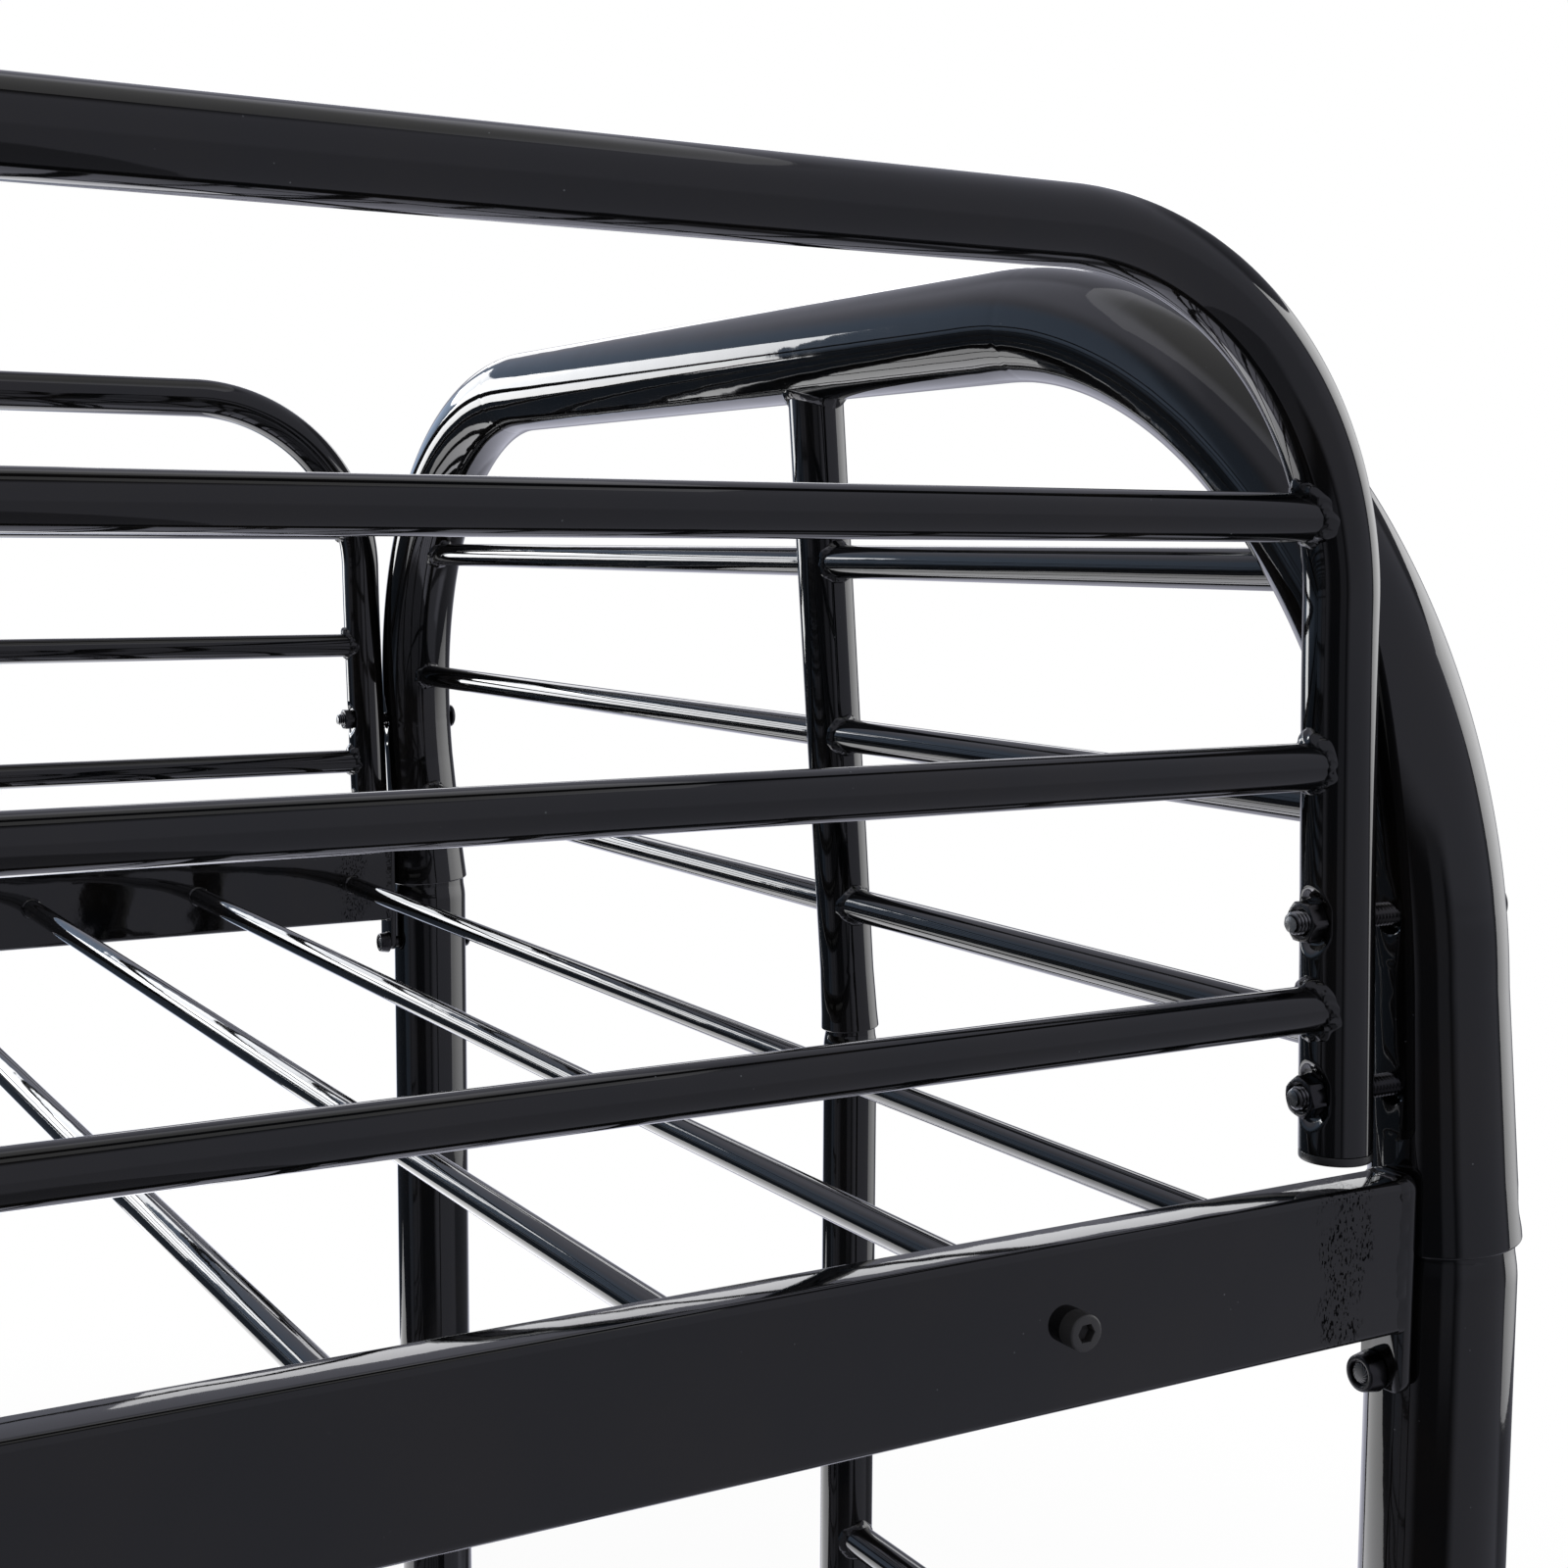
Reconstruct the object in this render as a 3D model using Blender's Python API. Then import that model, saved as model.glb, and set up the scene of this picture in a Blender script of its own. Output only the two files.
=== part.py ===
"""Twin-over-twin bunk bed in welded and bolted steel tube, in metres, +Z up.

X runs along the bed, -Y is the front, and the origin is on the floor under the middle.
Each end is a bent hoop whose expanded sockets sleeve over the swaged necks of two lower posts,
with an off-centre ladder stile between them. From the necks up, both ends lean in over the bed.
Guard rails bolt to the hoop legs, side rails bolt to the posts, and round slats span the side
rails of both decks.
"""

import math

import bmesh
import bpy
from mathutils import Matrix

# Bed
POST_SPACING_LONG = 1.996
POST_SPACING_WIDE = 0.975
UPPER_DECK_HEIGHT = 1.260
LOWER_DECK_HEIGHT = 0.330

# Posts and hoops
POST_RADIUS = 0.0255
HOOP_RADIUS = 0.0236
HOOP_BEND_RADIUS = 0.2385
HOOP_STRAIGHT = 0.006
HOOP_LEAN = math.radians(4.14)
SOCKET_LENGTH = 0.090
SOCKET_SWELL = 0.00365
NECK_DROP = 0.0025
NECK_REDUCTION = 0.00125
NECK_LENGTH = 0.044
NECK_TAPER = 0.008
NECK_CHAMFER = 0.002

# Ladder stiles
STILE_RADIUS = 0.0134
STILE_FROM_FRONT = 0.398
STILE_SOCKET_LENGTH = 0.030
STILE_SOCKET_SWELL = 0.0011
STILE_NECK_REDUCTION = 0.0009
STILE_NECK_LENGTH = 0.026
STILE_NECK_TAPER = 0.005

# Bars and rungs of the ends
END_BAR_LIFT = 0.0641
END_BAR_PITCH = 0.0848
END_BAR_COUNT = 3
FRONT_BAR_RADIUS = 0.008
BACK_BAR_RADIUS = 0.00725
RUNG_RADIUS = 0.008
LOWEST_RUNG_HEIGHT = 0.200
RUNG_COUNT = 4
HEAD_BAR_LIFT = 0.135
HEAD_BAR_COUNT = 3

# Side rails
RAIL_HEIGHT = 0.054
RAIL_THICKNESS = 0.0195
RAIL_CORNER = 0.003
RAIL_OUTSET = 0.0038
PLATE_THICKNESS = 0.004
PLATE_WIDTH = 0.023
PLATE_RISE = 0.0015
PLATE_DROP = 0.0295
PLATE_CORNER = 0.005
RAIL_BOLT_DROP = 0.0168

# Slats
SLAT_RADIUS = 0.006
SLAT_COUNT = 18
FIRST_SLAT_INSET = 0.059

# Guard rails, measured up from the top of the side rail
GUARD_RADIUS = 0.0125
GUARD_BEND_RADIUS = 0.115
GUARD_INSET_FRONT = 0.058
GUARD_INSET_BACK = 0.049
GUARD_FOOT_LIFT = 0.0075
GUARD_LOWER_BOLT_LIFT = 0.0232
GUARD_BOLT_REACH = 0.0298
GUARD_BAR_RADIUS = 0.008
GUARD_BAR_PITCH = 0.0817
GUARD_BAR_COUNT = 3
GUARD_TOP_GAP = 0.0862
NUT_SEAT_RADIUS = 0.0095
NUT_SEAT_DEPTH = 0.0025
NUT_SEAT_FLARE = 0.005

# Plastic ends
CAP_RIM = 0.0032
CAP_PLUG_LENGTH = 0.010
CAP_WALL = 0.0016
CAP_ROUNDING = 0.0012
GLIDE_RIM = 0.006
GLIDE_PLUG_LENGTH = 0.020
GLIDE_ROUNDING = 0.002
POST_WALL = 0.0016

# Bolts
BOLT_RADIUS = 0.004
BOLT_HEAD_RADIUS = 0.0078
BOLT_HEAD_HEIGHT = 0.0036
BOLT_HEAD_EDGE = 0.0012
BOLT_STUB = 0.005
NUT_FLANGE_RADIUS = 0.0088
NUT_FLANGE_HEIGHT = 0.0022
NUT_HEX_RADIUS = 0.0074
NUT_HEIGHT = 0.008
SLEEVE_NUT_RADIUS = 0.0065
SLEEVE_NUT_LENGTH = 0.0095
SLEEVE_NUT_ROUNDING = 0.001
SLEEVE_NUT_FLANGE = 0.0082
SLEEVE_NUT_FLANGE_HEIGHT = 0.0018

# Clearances and cuts
SEAT_GAP = 0.0003
BORE_CLEARANCE = 0.0003
BORE_END_CLEARANCE = 0.0005
CUT_OVERRUN = 0.002
MERGE_DISTANCE = 0.000001

# How a socket grows: shares of its length from the lip, and of its swell
FLARE_SHARES = ((0.0, 1.0), (0.25, 0.6), (0.6, 0.33), (1.0, 0.0))

POST_SIDES = 18
STILE_SIDES = 12
GUARD_SIDES = 16
BAR_SIDES = 12
SLAT_SIDES = 10
BOLT_SIDES = 8
HEX_SIDES = 6
BEND_STEPS = 7
CORNER_STEPS = 3
SMOOTH_ANGLE = math.radians(35)

# Worked out from the sizes above
HALF_LONG = POST_SPACING_LONG / 2
HALF_WIDE = POST_SPACING_WIDE / 2
STILE_Y = STILE_FROM_FRONT - HALF_WIDE
RUNG_PITCH = (UPPER_DECK_HEIGHT - LOWEST_RUNG_HEIGHT) / RUNG_COUNT
NECK_BASE = UPPER_DECK_HEIGHT - NECK_DROP
HOOP_TOP = UPPER_DECK_HEIGHT + SOCKET_LENGTH + HOOP_STRAIGHT + HOOP_BEND_RADIUS
SOCKET_LIP_RADIUS = HOOP_RADIUS + SOCKET_SWELL
NECK_RADIUS = POST_RADIUS - NECK_REDUCTION
RAIL_Y = HALF_WIDE + RAIL_OUTSET
SLAT_PITCH = (POST_SPACING_LONG - 2 * FIRST_SLAT_INSET) / (SLAT_COUNT - 1)
RAIL_BOLT_BELOW_MIDDLE = RAIL_HEIGHT / 2 + RAIL_BOLT_DROP
GUARD_FOOT = UPPER_DECK_HEIGHT + RAIL_HEIGHT / 2 + GUARD_FOOT_LIFT
GUARD_LOWER_BOLT = GUARD_FOOT + GUARD_LOWER_BOLT_LIFT
GUARD_LOWEST_BAR = GUARD_LOWER_BOLT + GUARD_BOLT_REACH
GUARD_UPPER_BOLT = GUARD_LOWEST_BAR + GUARD_BOLT_REACH
GUARD_TOP = GUARD_LOWEST_BAR + (GUARD_BAR_COUNT - 1) * GUARD_BAR_PITCH + GUARD_TOP_GAP
SIDES = {"front": -1, "back": 1}
ENDS = {"left": -1, "right": 1}


def material(name, colour, roughness, metallic):
    made = bpy.data.materials.new(name)
    made.use_nodes = True
    shader = made.node_tree.nodes["Principled BSDF"]
    shader.inputs["Base Color"].default_value = (*colour, 1)
    shader.inputs["Roughness"].default_value = roughness
    shader.inputs["Metallic"].default_value = metallic
    return made


def place(name, mesh, location=(0, 0, 0), rotation=(0, 0, 0)):
    """A new object in the scene that shows this mesh."""
    body = bpy.data.objects.new(name, mesh)
    body.location = location
    body.rotation_euler = rotation
    bpy.context.scene.collection.objects.link(body)
    return body


def evaluated_mesh(body):
    """The body's mesh with its modifiers or its bevel worked out, and close points made one."""
    bpy.context.view_layer.update()
    graph = bpy.context.evaluated_depsgraph_get()
    mesh = bpy.data.meshes.new_from_object(body.evaluated_get(graph))
    shape = bmesh.new()
    shape.from_mesh(mesh)
    bmesh.ops.remove_doubles(shape, verts=shape.verts, dist=MERGE_DISTANCE)
    shape.to_mesh(mesh)
    shape.free()
    return mesh


def turned(name, outline, sides):
    """A body turned round Z from (radius, height) points that start and end on the axis."""
    shape = bmesh.new()
    points = [shape.verts.new((radius, 0, height)) for radius, height in outline]
    edges = [shape.edges.new(pair) for pair in zip(points, points[1:])]
    bmesh.ops.spin(
        shape,
        geom=points + edges,
        cent=(0, 0, 0),
        axis=(0, 0, 1),
        angle=math.tau,
        steps=sides,
    )
    bmesh.ops.remove_doubles(shape, verts=shape.verts, dist=MERGE_DISTANCE)
    bmesh.ops.recalc_face_normals(shape, faces=shape.faces)
    mesh = bpy.data.meshes.new(name)
    shape.to_mesh(mesh)
    shape.free()
    return place(name, mesh)


def rod(name, radius, low, high, sides):
    """A plain round rod on the Z axis."""
    return turned(name, ((0, low), (radius, low), (radius, high), (0, high)), sides)


def swept(name, path, radii, sides):
    """A round body along a path of points, with a radius of its own at each point."""
    curve = bpy.data.curves.new(name, "CURVE")
    curve.dimensions = "3D"
    curve.bevel_depth = 1
    curve.bevel_resolution = sides // 2 - 2
    curve.use_fill_caps = True
    spline = curve.splines.new("POLY")
    spline.points.add(len(path) - 1)
    for point, position, radius in zip(spline.points, path, radii):
        point.co = (*position, 1)
        point.radius = radius
    guide = place("guide", curve)
    mesh = evaluated_mesh(guide)
    bpy.data.objects.remove(guide)
    return place(name, mesh)


def bar(name, start, end, radius, sides=BAR_SIDES):
    """A straight round bar between two points."""
    return swept(name, (start, end), (radius, radius), sides)


def extruded(name, outline, start, depth):
    """A flat outline of (y, z) points carried along X from start."""
    shape = bmesh.new()
    face = shape.faces.new([shape.verts.new((start, y, z)) for y, z in outline])
    grown = bmesh.ops.extrude_face_region(shape, geom=[face])
    moved = [item for item in grown["geom"] if isinstance(item, bmesh.types.BMVert)]
    bmesh.ops.translate(shape, verts=moved, vec=(depth, 0, 0))
    bmesh.ops.recalc_face_normals(shape, faces=shape.faces)
    mesh = bpy.data.meshes.new(name)
    shape.to_mesh(mesh)
    shape.free()
    return place(name, mesh)


def rounded_outline(width, low, high, corner):
    """A rectangle centred on y = 0 between two heights, with its corners rounded by arcs."""
    points = []
    for quarter, (side, height) in enumerate(((1, high), (-1, high), (-1, low), (1, low))):
        centre_y = side * (width / 2 - corner)
        centre_z = height - corner if height == high else height + corner
        for step in range(CORNER_STEPS + 1):
            angle = (quarter + step / CORNER_STEPS) * math.pi / 2
            points.append((centre_y + corner * math.cos(angle), centre_z + corner * math.sin(angle)))
    return points


def combine(body, operation, tools):
    """Joins the tools to the body or cuts them from it, and removes them."""
    group = bpy.data.collections.new("tools")
    for tool in tools:
        group.objects.link(tool)
    change = body.modifiers.new("combine", "BOOLEAN")
    change.operation = operation
    change.solver = "EXACT"
    change.operand_type = "COLLECTION"
    change.collection = group
    mesh = evaluated_mesh(body)
    body.modifiers.clear()
    body.data = mesh
    for tool in tools:
        bpy.data.objects.remove(tool)
    bpy.data.collections.remove(group)
    return body


def finish(body, paint):
    """Smooth round faces with sharp rims, and the part's paint."""
    body.data.shade_smooth()
    body.data.set_sharp_from_angle(angle=SMOOTH_ANGLE)
    body.data.materials.clear()
    body.data.materials.append(paint)
    return body


def across(tool, x, y, z, toward=1):
    """Lays a body turned round Z along X, with its upper end toward +X, or -X for -1."""
    quarter = Matrix.Rotation(toward * math.pi / 2, 4, "Y")
    tool.matrix_world = Matrix.Translation((x, y, z)) @ quarter
    return tool


def bend_offset(drop, radius):
    """How far a quarter bend's centre line stands inside its leg, at a drop below its top."""
    if drop >= radius:
        return 0
    return radius - math.sqrt(radius**2 - (radius - drop) ** 2)


def arch_points(half_span, leg_heights, top, radius):
    """(sideways, height) points up one leg, round two quarter bends and down the other leg."""
    rising = [(-half_span, height) for height in leg_heights]
    for step in range(BEND_STEPS + 1):
        angle = step / BEND_STEPS * math.pi / 2
        sideways = -half_span + radius * (1 - math.cos(angle))
        rising.append((sideways, top - radius + radius * math.sin(angle)))
    return rising + [(-sideways, height) for sideways, height in reversed(rising)]


def flare(radius, swell, length, base):
    """(radius, height) points of a socket's outside, from its lip at the base height up."""
    return [(radius + swell * grown, base + length * share) for share, grown in FLARE_SHARES]


def hoop(name, extra):
    """The bent tube of an upper end, in the plane x = 0, thicker all round by extra."""
    socket = flare(HOOP_RADIUS, SOCKET_SWELL, SOCKET_LENGTH, UPPER_DECK_HEIGHT)
    arch = arch_points(HALF_WIDE, [height for _, height in socket], HOOP_TOP, HOOP_BEND_RADIUS)
    leg_radii = [radius for radius, _ in socket]
    middle = [HOOP_RADIUS] * (len(arch) - 2 * len(socket))
    radii = leg_radii + middle + leg_radii[::-1]
    path = [(0, sideways, height) for sideways, height in arch]
    return swept(name, path, [radius + extra for radius in radii], POST_SIDES)


def lean_in(body, end):
    """Tips all that stands above the base of the necks toward the middle of the bed."""
    pivot = Matrix.Translation((0, 0, NECK_BASE))
    tip = pivot @ Matrix.Rotation(-end * HOOP_LEAN, 4, "Y") @ pivot.inverted()
    for vertex in body.data.vertices:
        if vertex.co.z > NECK_BASE + MERGE_DISTANCE:
            vertex.co = tip @ vertex.co
    return body


def leg_face(lift, inboard):
    """How far from the post's axis a leaning leg's face stands, at a lift above the lip."""
    share = lift / SOCKET_LENGTH
    radius = HOOP_RADIUS
    for (low, low_grown), (high, high_grown) in zip(FLARE_SHARES, FLARE_SHARES[1:]):
        if low <= share <= high:
            along = (share - low) / (high - low)
            radius += SOCKET_SWELL * (low_grown + along * (high_grown - low_grown))
    return radius / math.cos(HOOP_LEAN) + inboard * math.tan(HOOP_LEAN) * (lift + NECK_DROP)


def nut_seat(tube_radius):
    """A cutter for the flattened seat that a nut pulls against, on the upper side of a tube."""
    bottom = tube_radius - NUT_SEAT_DEPTH
    wide = NUT_SEAT_RADIUS + NUT_SEAT_FLARE
    outline = (
        (0, bottom),
        (NUT_SEAT_RADIUS, bottom),
        (wide, bottom + NUT_SEAT_FLARE),
        (0, bottom + NUT_SEAT_FLARE),
    )
    return turned("nut seat cutter", outline, BOLT_SIDES)


def bolt_hole(half_length):
    radius = BOLT_RADIUS + BORE_CLEARANCE
    return rod("bolt hole cutter", radius, -half_length, half_length, BOLT_SIDES)


def end_hoop(name, end):
    """The leaning hoop with its two blind sockets and the level holes of the guard bolts."""
    sockets = []
    for side in SIDES.values():
        socket = rod(
            "socket cutter",
            NECK_RADIUS + BORE_CLEARANCE,
            UPPER_DECK_HEIGHT - CUT_OVERRUN,
            UPPER_DECK_HEIGHT + NECK_LENGTH + BORE_END_CLEARANCE,
            POST_SIDES,
        )
        socket.location = (0, side * HALF_WIDE, 0)
        sockets.append(socket)
    body = lean_in(combine(hoop(name, 0), "DIFFERENCE", sockets), end)
    holes = []
    for side in SIDES.values():
        for height in (GUARD_LOWER_BOLT, GUARD_UPPER_BOLT):
            hole = bolt_hole(leg_face(height - UPPER_DECK_HEIGHT, 1) + CUT_OVERRUN)
            holes.append(across(hole, 0, side * HALF_WIDE, height))
    return combine(body, "DIFFERENCE", holes)


def upper_end_panel(name, end):
    """The leaning stile with three bars on each side, coped to the hoop that they meet."""
    base = UPPER_DECK_HEIGHT
    bore = STILE_RADIUS - STILE_NECK_REDUCTION + BORE_CLEARANCE
    bore_top = base + STILE_NECK_LENGTH + BORE_END_CLEARANCE
    socket = flare(STILE_RADIUS, STILE_SOCKET_SWELL, STILE_SOCKET_LENGTH, base)
    outline = [
        (0, bore_top),
        (bore, bore_top),
        (bore, base),
        *socket,
        (STILE_RADIUS, HOOP_TOP),
        (0, HOOP_TOP),
    ]
    body = turned(name, outline, STILE_SIDES)
    body.data.transform(Matrix.Translation((0, STILE_Y, 0)))
    bars = []
    for index in range(END_BAR_COUNT):
        lift = END_BAR_LIFT + index * END_BAR_PITCH
        height = base + lift
        reach = HALF_WIDE - bend_offset(HOOP_TOP - height, HOOP_BEND_RADIUS)
        middle = (0, STILE_Y, height)
        bars.append(bar("front bar", middle, (0, -reach, height), FRONT_BAR_RADIUS))
        bars.append(bar("back bar", middle, (0, reach, height), BACK_BAR_RADIUS))
    combine(body, "UNION", bars)
    return lean_in(combine(body, "DIFFERENCE", [hoop("coping cutter", SEAT_GAP)]), end)


def lower_post(name, end):
    """A post with a leaning neck on top, a bore for its glide, and holes for the rail bolts."""
    bore = POST_RADIUS - POST_WALL
    bore_top = GLIDE_RIM + GLIDE_PLUG_LENGTH + BORE_END_CLEARANCE
    top = UPPER_DECK_HEIGHT + NECK_LENGTH
    outline = (
        (0, bore_top),
        (bore, bore_top),
        (bore, GLIDE_RIM + SEAT_GAP),
        (POST_RADIUS, GLIDE_RIM + SEAT_GAP),
        (POST_RADIUS, NECK_BASE - NECK_TAPER),
        (NECK_RADIUS, NECK_BASE),
        (NECK_RADIUS, top - NECK_CHAMFER),
        (NECK_RADIUS - NECK_CHAMFER, top),
        (0, top),
    )
    body = turned(name, outline, POST_SIDES)
    holes = []
    for deck in (UPPER_DECK_HEIGHT, LOWER_DECK_HEIGHT):
        hole = bolt_hole(POST_RADIUS + CUT_OVERRUN)
        holes.append(across(hole, 0, 0, deck - RAIL_BOLT_BELOW_MIDDLE))
    return lean_in(combine(body, "DIFFERENCE", holes), end)


def ladder_panel(name, end):
    """The lower stile with its rungs to the front post and head bars to the back post."""
    bore = STILE_RADIUS - POST_WALL
    bore_top = GLIDE_RIM + GLIDE_PLUG_LENGTH + BORE_END_CLEARANCE
    neck = STILE_RADIUS - STILE_NECK_REDUCTION
    outline = [
        (0, bore_top),
        (bore, bore_top),
        (bore, GLIDE_RIM + SEAT_GAP),
        (STILE_RADIUS, GLIDE_RIM + SEAT_GAP),
        (STILE_RADIUS, NECK_BASE - STILE_NECK_TAPER),
        (neck, NECK_BASE),
        (neck, UPPER_DECK_HEIGHT + STILE_NECK_LENGTH),
        (0, UPPER_DECK_HEIGHT + STILE_NECK_LENGTH),
    ]
    body = turned(name, outline, STILE_SIDES)
    body.data.transform(Matrix.Translation((0, STILE_Y, 0)))
    bars = []
    for index in range(RUNG_COUNT):
        height = LOWEST_RUNG_HEIGHT + index * RUNG_PITCH
        bars.append(bar("rung", (0, STILE_Y, height), (0, -HALF_WIDE, height), RUNG_RADIUS))
    for index in range(HEAD_BAR_COUNT):
        height = LOWER_DECK_HEIGHT + HEAD_BAR_LIFT + index * END_BAR_PITCH
        bars.append(bar("head bar", (0, STILE_Y, height), (0, HALF_WIDE, height), BACK_BAR_RADIUS))
    combine(body, "UNION", bars)
    copes = []
    for side in SIDES.values():
        cope = rod("coping cutter", POST_RADIUS + SEAT_GAP, 0, UPPER_DECK_HEIGHT, POST_SIDES)
        cope.location = (0, side * HALF_WIDE, 0)
        copes.append(cope)
    return lean_in(combine(body, "DIFFERENCE", copes), end)


def guard_rail(name, inset):
    """An inverted U with three welded bars, bored for its end caps and drilled for its bolts."""
    half = HALF_LONG - inset
    foot = GUARD_FOOT + CAP_RIM + SEAT_GAP
    arch = arch_points(half, [foot], GUARD_TOP, GUARD_BEND_RADIUS)
    path = [(sideways, 0, height) for sideways, height in arch]
    body = swept(name, path, [GUARD_RADIUS] * len(path), GUARD_SIDES)
    bars = []
    for index in range(GUARD_BAR_COUNT):
        height = GUARD_LOWEST_BAR + index * GUARD_BAR_PITCH
        reach = half - bend_offset(GUARD_TOP - height, GUARD_BEND_RADIUS)
        bars.append(bar("guard bar", (-reach, 0, height), (reach, 0, height), GUARD_BAR_RADIUS))
    combine(body, "UNION", bars)
    cutters = []
    for end in ENDS.values():
        bore = rod(
            "cap bore cutter",
            GUARD_RADIUS - CAP_WALL,
            foot - CUT_OVERRUN,
            foot + CAP_PLUG_LENGTH,
            GUARD_SIDES,
        )
        bore.location = (end * half, 0, 0)
        cutters.append(bore)
        for height in (GUARD_LOWER_BOLT, GUARD_UPPER_BOLT):
            cutters.append(across(bolt_hole(GUARD_RADIUS + CUT_OVERRUN), end * half, 0, height))
            cutters.append(across(nut_seat(GUARD_RADIUS), end * half, 0, height, -end))
    return combine(body, "DIFFERENCE", cutters)


def side_rail(name, deck, stand_off):
    """A rectangular tube between two welded end plates that stand against the ends."""
    plate_face = HALF_LONG - stand_off - SEAT_GAP
    tube_end = plate_face - PLATE_THICKNESS / 2
    low = deck - RAIL_HEIGHT / 2
    high = deck + RAIL_HEIGHT / 2
    outline = rounded_outline(RAIL_THICKNESS, low, high, RAIL_CORNER)
    body = extruded(name, outline, -tube_end, 2 * tube_end)
    plate_outline = rounded_outline(PLATE_WIDTH, low - PLATE_DROP, high + PLATE_RISE, PLATE_CORNER)
    plates = [
        extruded("end plate", plate_outline, -plate_face, PLATE_THICKNESS),
        extruded("end plate", plate_outline, plate_face - PLATE_THICKNESS, PLATE_THICKNESS),
    ]
    return combine(body, "UNION", plates), plate_face


def drill_plates(body, deck, plate_face, toward_post):
    """The holes of the rail bolts, on the post axis rather than the rail's own middle."""
    holes = []
    for end in ENDS.values():
        hole = bolt_hole(PLATE_THICKNESS + CUT_OVERRUN)
        holes.append(across(hole, end * plate_face, toward_post, deck - RAIL_BOLT_BELOW_MIDDLE))
    return combine(body, "DIFFERENCE", holes)


def guard_bolt_mesh(name, inset, lift):
    """A through bolt with its domed head outside the hoop leg and a flanged hex nut inside."""
    head = leg_face(lift - BOLT_HEAD_RADIUS, -1) + SEAT_GAP
    nut = -(inset + GUARD_RADIUS - NUT_SEAT_DEPTH) - SEAT_GAP
    tip = nut - NUT_HEIGHT - BOLT_STUB
    shoulder = nut - NUT_FLANGE_HEIGHT
    outline = (
        (0, tip),
        (BOLT_RADIUS, tip),
        (BOLT_RADIUS, shoulder),
        (NUT_FLANGE_RADIUS, shoulder + NUT_FLANGE_HEIGHT / 2),
        (NUT_FLANGE_RADIUS, nut),
        (BOLT_RADIUS, nut),
        (BOLT_RADIUS, head),
        (BOLT_HEAD_RADIUS, head),
        (BOLT_HEAD_RADIUS, head + BOLT_HEAD_EDGE),
        (BOLT_HEAD_RADIUS / 2, head + BOLT_HEAD_HEIGHT),
        (0, head + BOLT_HEAD_HEIGHT),
    )
    body = turned(name, outline, BOLT_SIDES)
    hexagon = rod("nut", NUT_HEX_RADIUS, nut - NUT_HEIGHT, nut - NUT_FLANGE_HEIGHT / 2, HEX_SIDES)
    return combine(body, "UNION", [hexagon])


def rail_bolt_mesh(name, stand_off):
    """A through bolt with a round sleeve nut against the end plate's tab."""
    head = POST_RADIUS + SEAT_GAP
    nut = -(stand_off + SEAT_GAP + PLATE_THICKNESS) - SEAT_GAP
    end = nut - SLEEVE_NUT_LENGTH
    outline = (
        (0, end + SLEEVE_NUT_ROUNDING),
        (BOLT_RADIUS, end + SLEEVE_NUT_ROUNDING),
        (SLEEVE_NUT_RADIUS - SLEEVE_NUT_ROUNDING, end),
        (SLEEVE_NUT_RADIUS, end + SLEEVE_NUT_ROUNDING),
        (SLEEVE_NUT_RADIUS, nut - SLEEVE_NUT_FLANGE_HEIGHT),
        (SLEEVE_NUT_FLANGE, nut - SLEEVE_NUT_FLANGE_HEIGHT / 2),
        (SLEEVE_NUT_FLANGE, nut),
        (BOLT_RADIUS, nut),
        (BOLT_RADIUS, head),
        (BOLT_HEAD_RADIUS, head),
        (BOLT_HEAD_RADIUS, head + BOLT_HEAD_EDGE),
        (BOLT_HEAD_RADIUS / 2, head + BOLT_HEAD_HEIGHT),
        (0, head + BOLT_HEAD_HEIGHT),
    )
    return turned(name, outline, BOLT_SIDES)


def plug(name, tube_radius, wall, rim, length, rounding, sides):
    """A plastic end: a rounded rim as wide as the tube, and a plug up its bore."""
    stem = tube_radius - wall - BORE_CLEARANCE
    outline = (
        (0, 0),
        (tube_radius - rounding, 0),
        (tube_radius, rounding),
        (tube_radius, rim),
        (stem, rim),
        (stem, rim + length - BORE_END_CLEARANCE),
        (0, rim + length - BORE_END_CLEARANCE),
    )
    return turned(name, outline, sides)


def copies(master, base_name, paint, places):
    """One object for each named place, all sharing the master's mesh, which is then removed."""
    finish(master, paint)
    for suffix, location, turn in places:
        place(f"{base_name}_{suffix}", master.data, location, turn)
    bpy.data.objects.remove(master)


def bolt_copies(master, base_name, paint, side, height):
    """The bolt at both ends of one side, at one height, with its head outboard."""
    places = []
    for end_name, end in ENDS.items():
        location = (end * HALF_LONG, side * HALF_WIDE, height)
        places.append((end_name, location, (0, end * math.pi / 2, 0)))
    copies(master, base_name, paint, places)


def build_ends(frame_paint, plastic):
    for end_name, end in ENDS.items():
        middle = [(end_name, (end * HALF_LONG, 0, 0), (0, 0, 0))]
        copies(end_hoop("hoop", end), "end_hoop", frame_paint, middle)
        copies(upper_end_panel("panel", end), "upper_end_panel", frame_paint, middle)
        copies(ladder_panel("ladder", end), "ladder_panel", frame_paint, middle)
        for side_name, side in SIDES.items():
            corner = [(end_name, (end * HALF_LONG, side * HALF_WIDE, 0), (0, 0, 0))]
            copies(lower_post("post", end), f"post_{side_name}", frame_paint, corner)
            foot = plug(
                "foot",
                POST_RADIUS,
                POST_WALL,
                GLIDE_RIM,
                GLIDE_PLUG_LENGTH,
                GLIDE_ROUNDING,
                POST_SIDES,
            )
            copies(foot, f"floor_glide_{side_name}", plastic, corner)
    stile_foot = plug(
        "foot", STILE_RADIUS, POST_WALL, GLIDE_RIM, GLIDE_PLUG_LENGTH, GLIDE_ROUNDING, STILE_SIDES
    )
    stiles = [(name, (end * HALF_LONG, STILE_Y, 0), (0, 0, 0)) for name, end in ENDS.items()]
    copies(stile_foot, "stile_glide", plastic, stiles)


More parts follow.
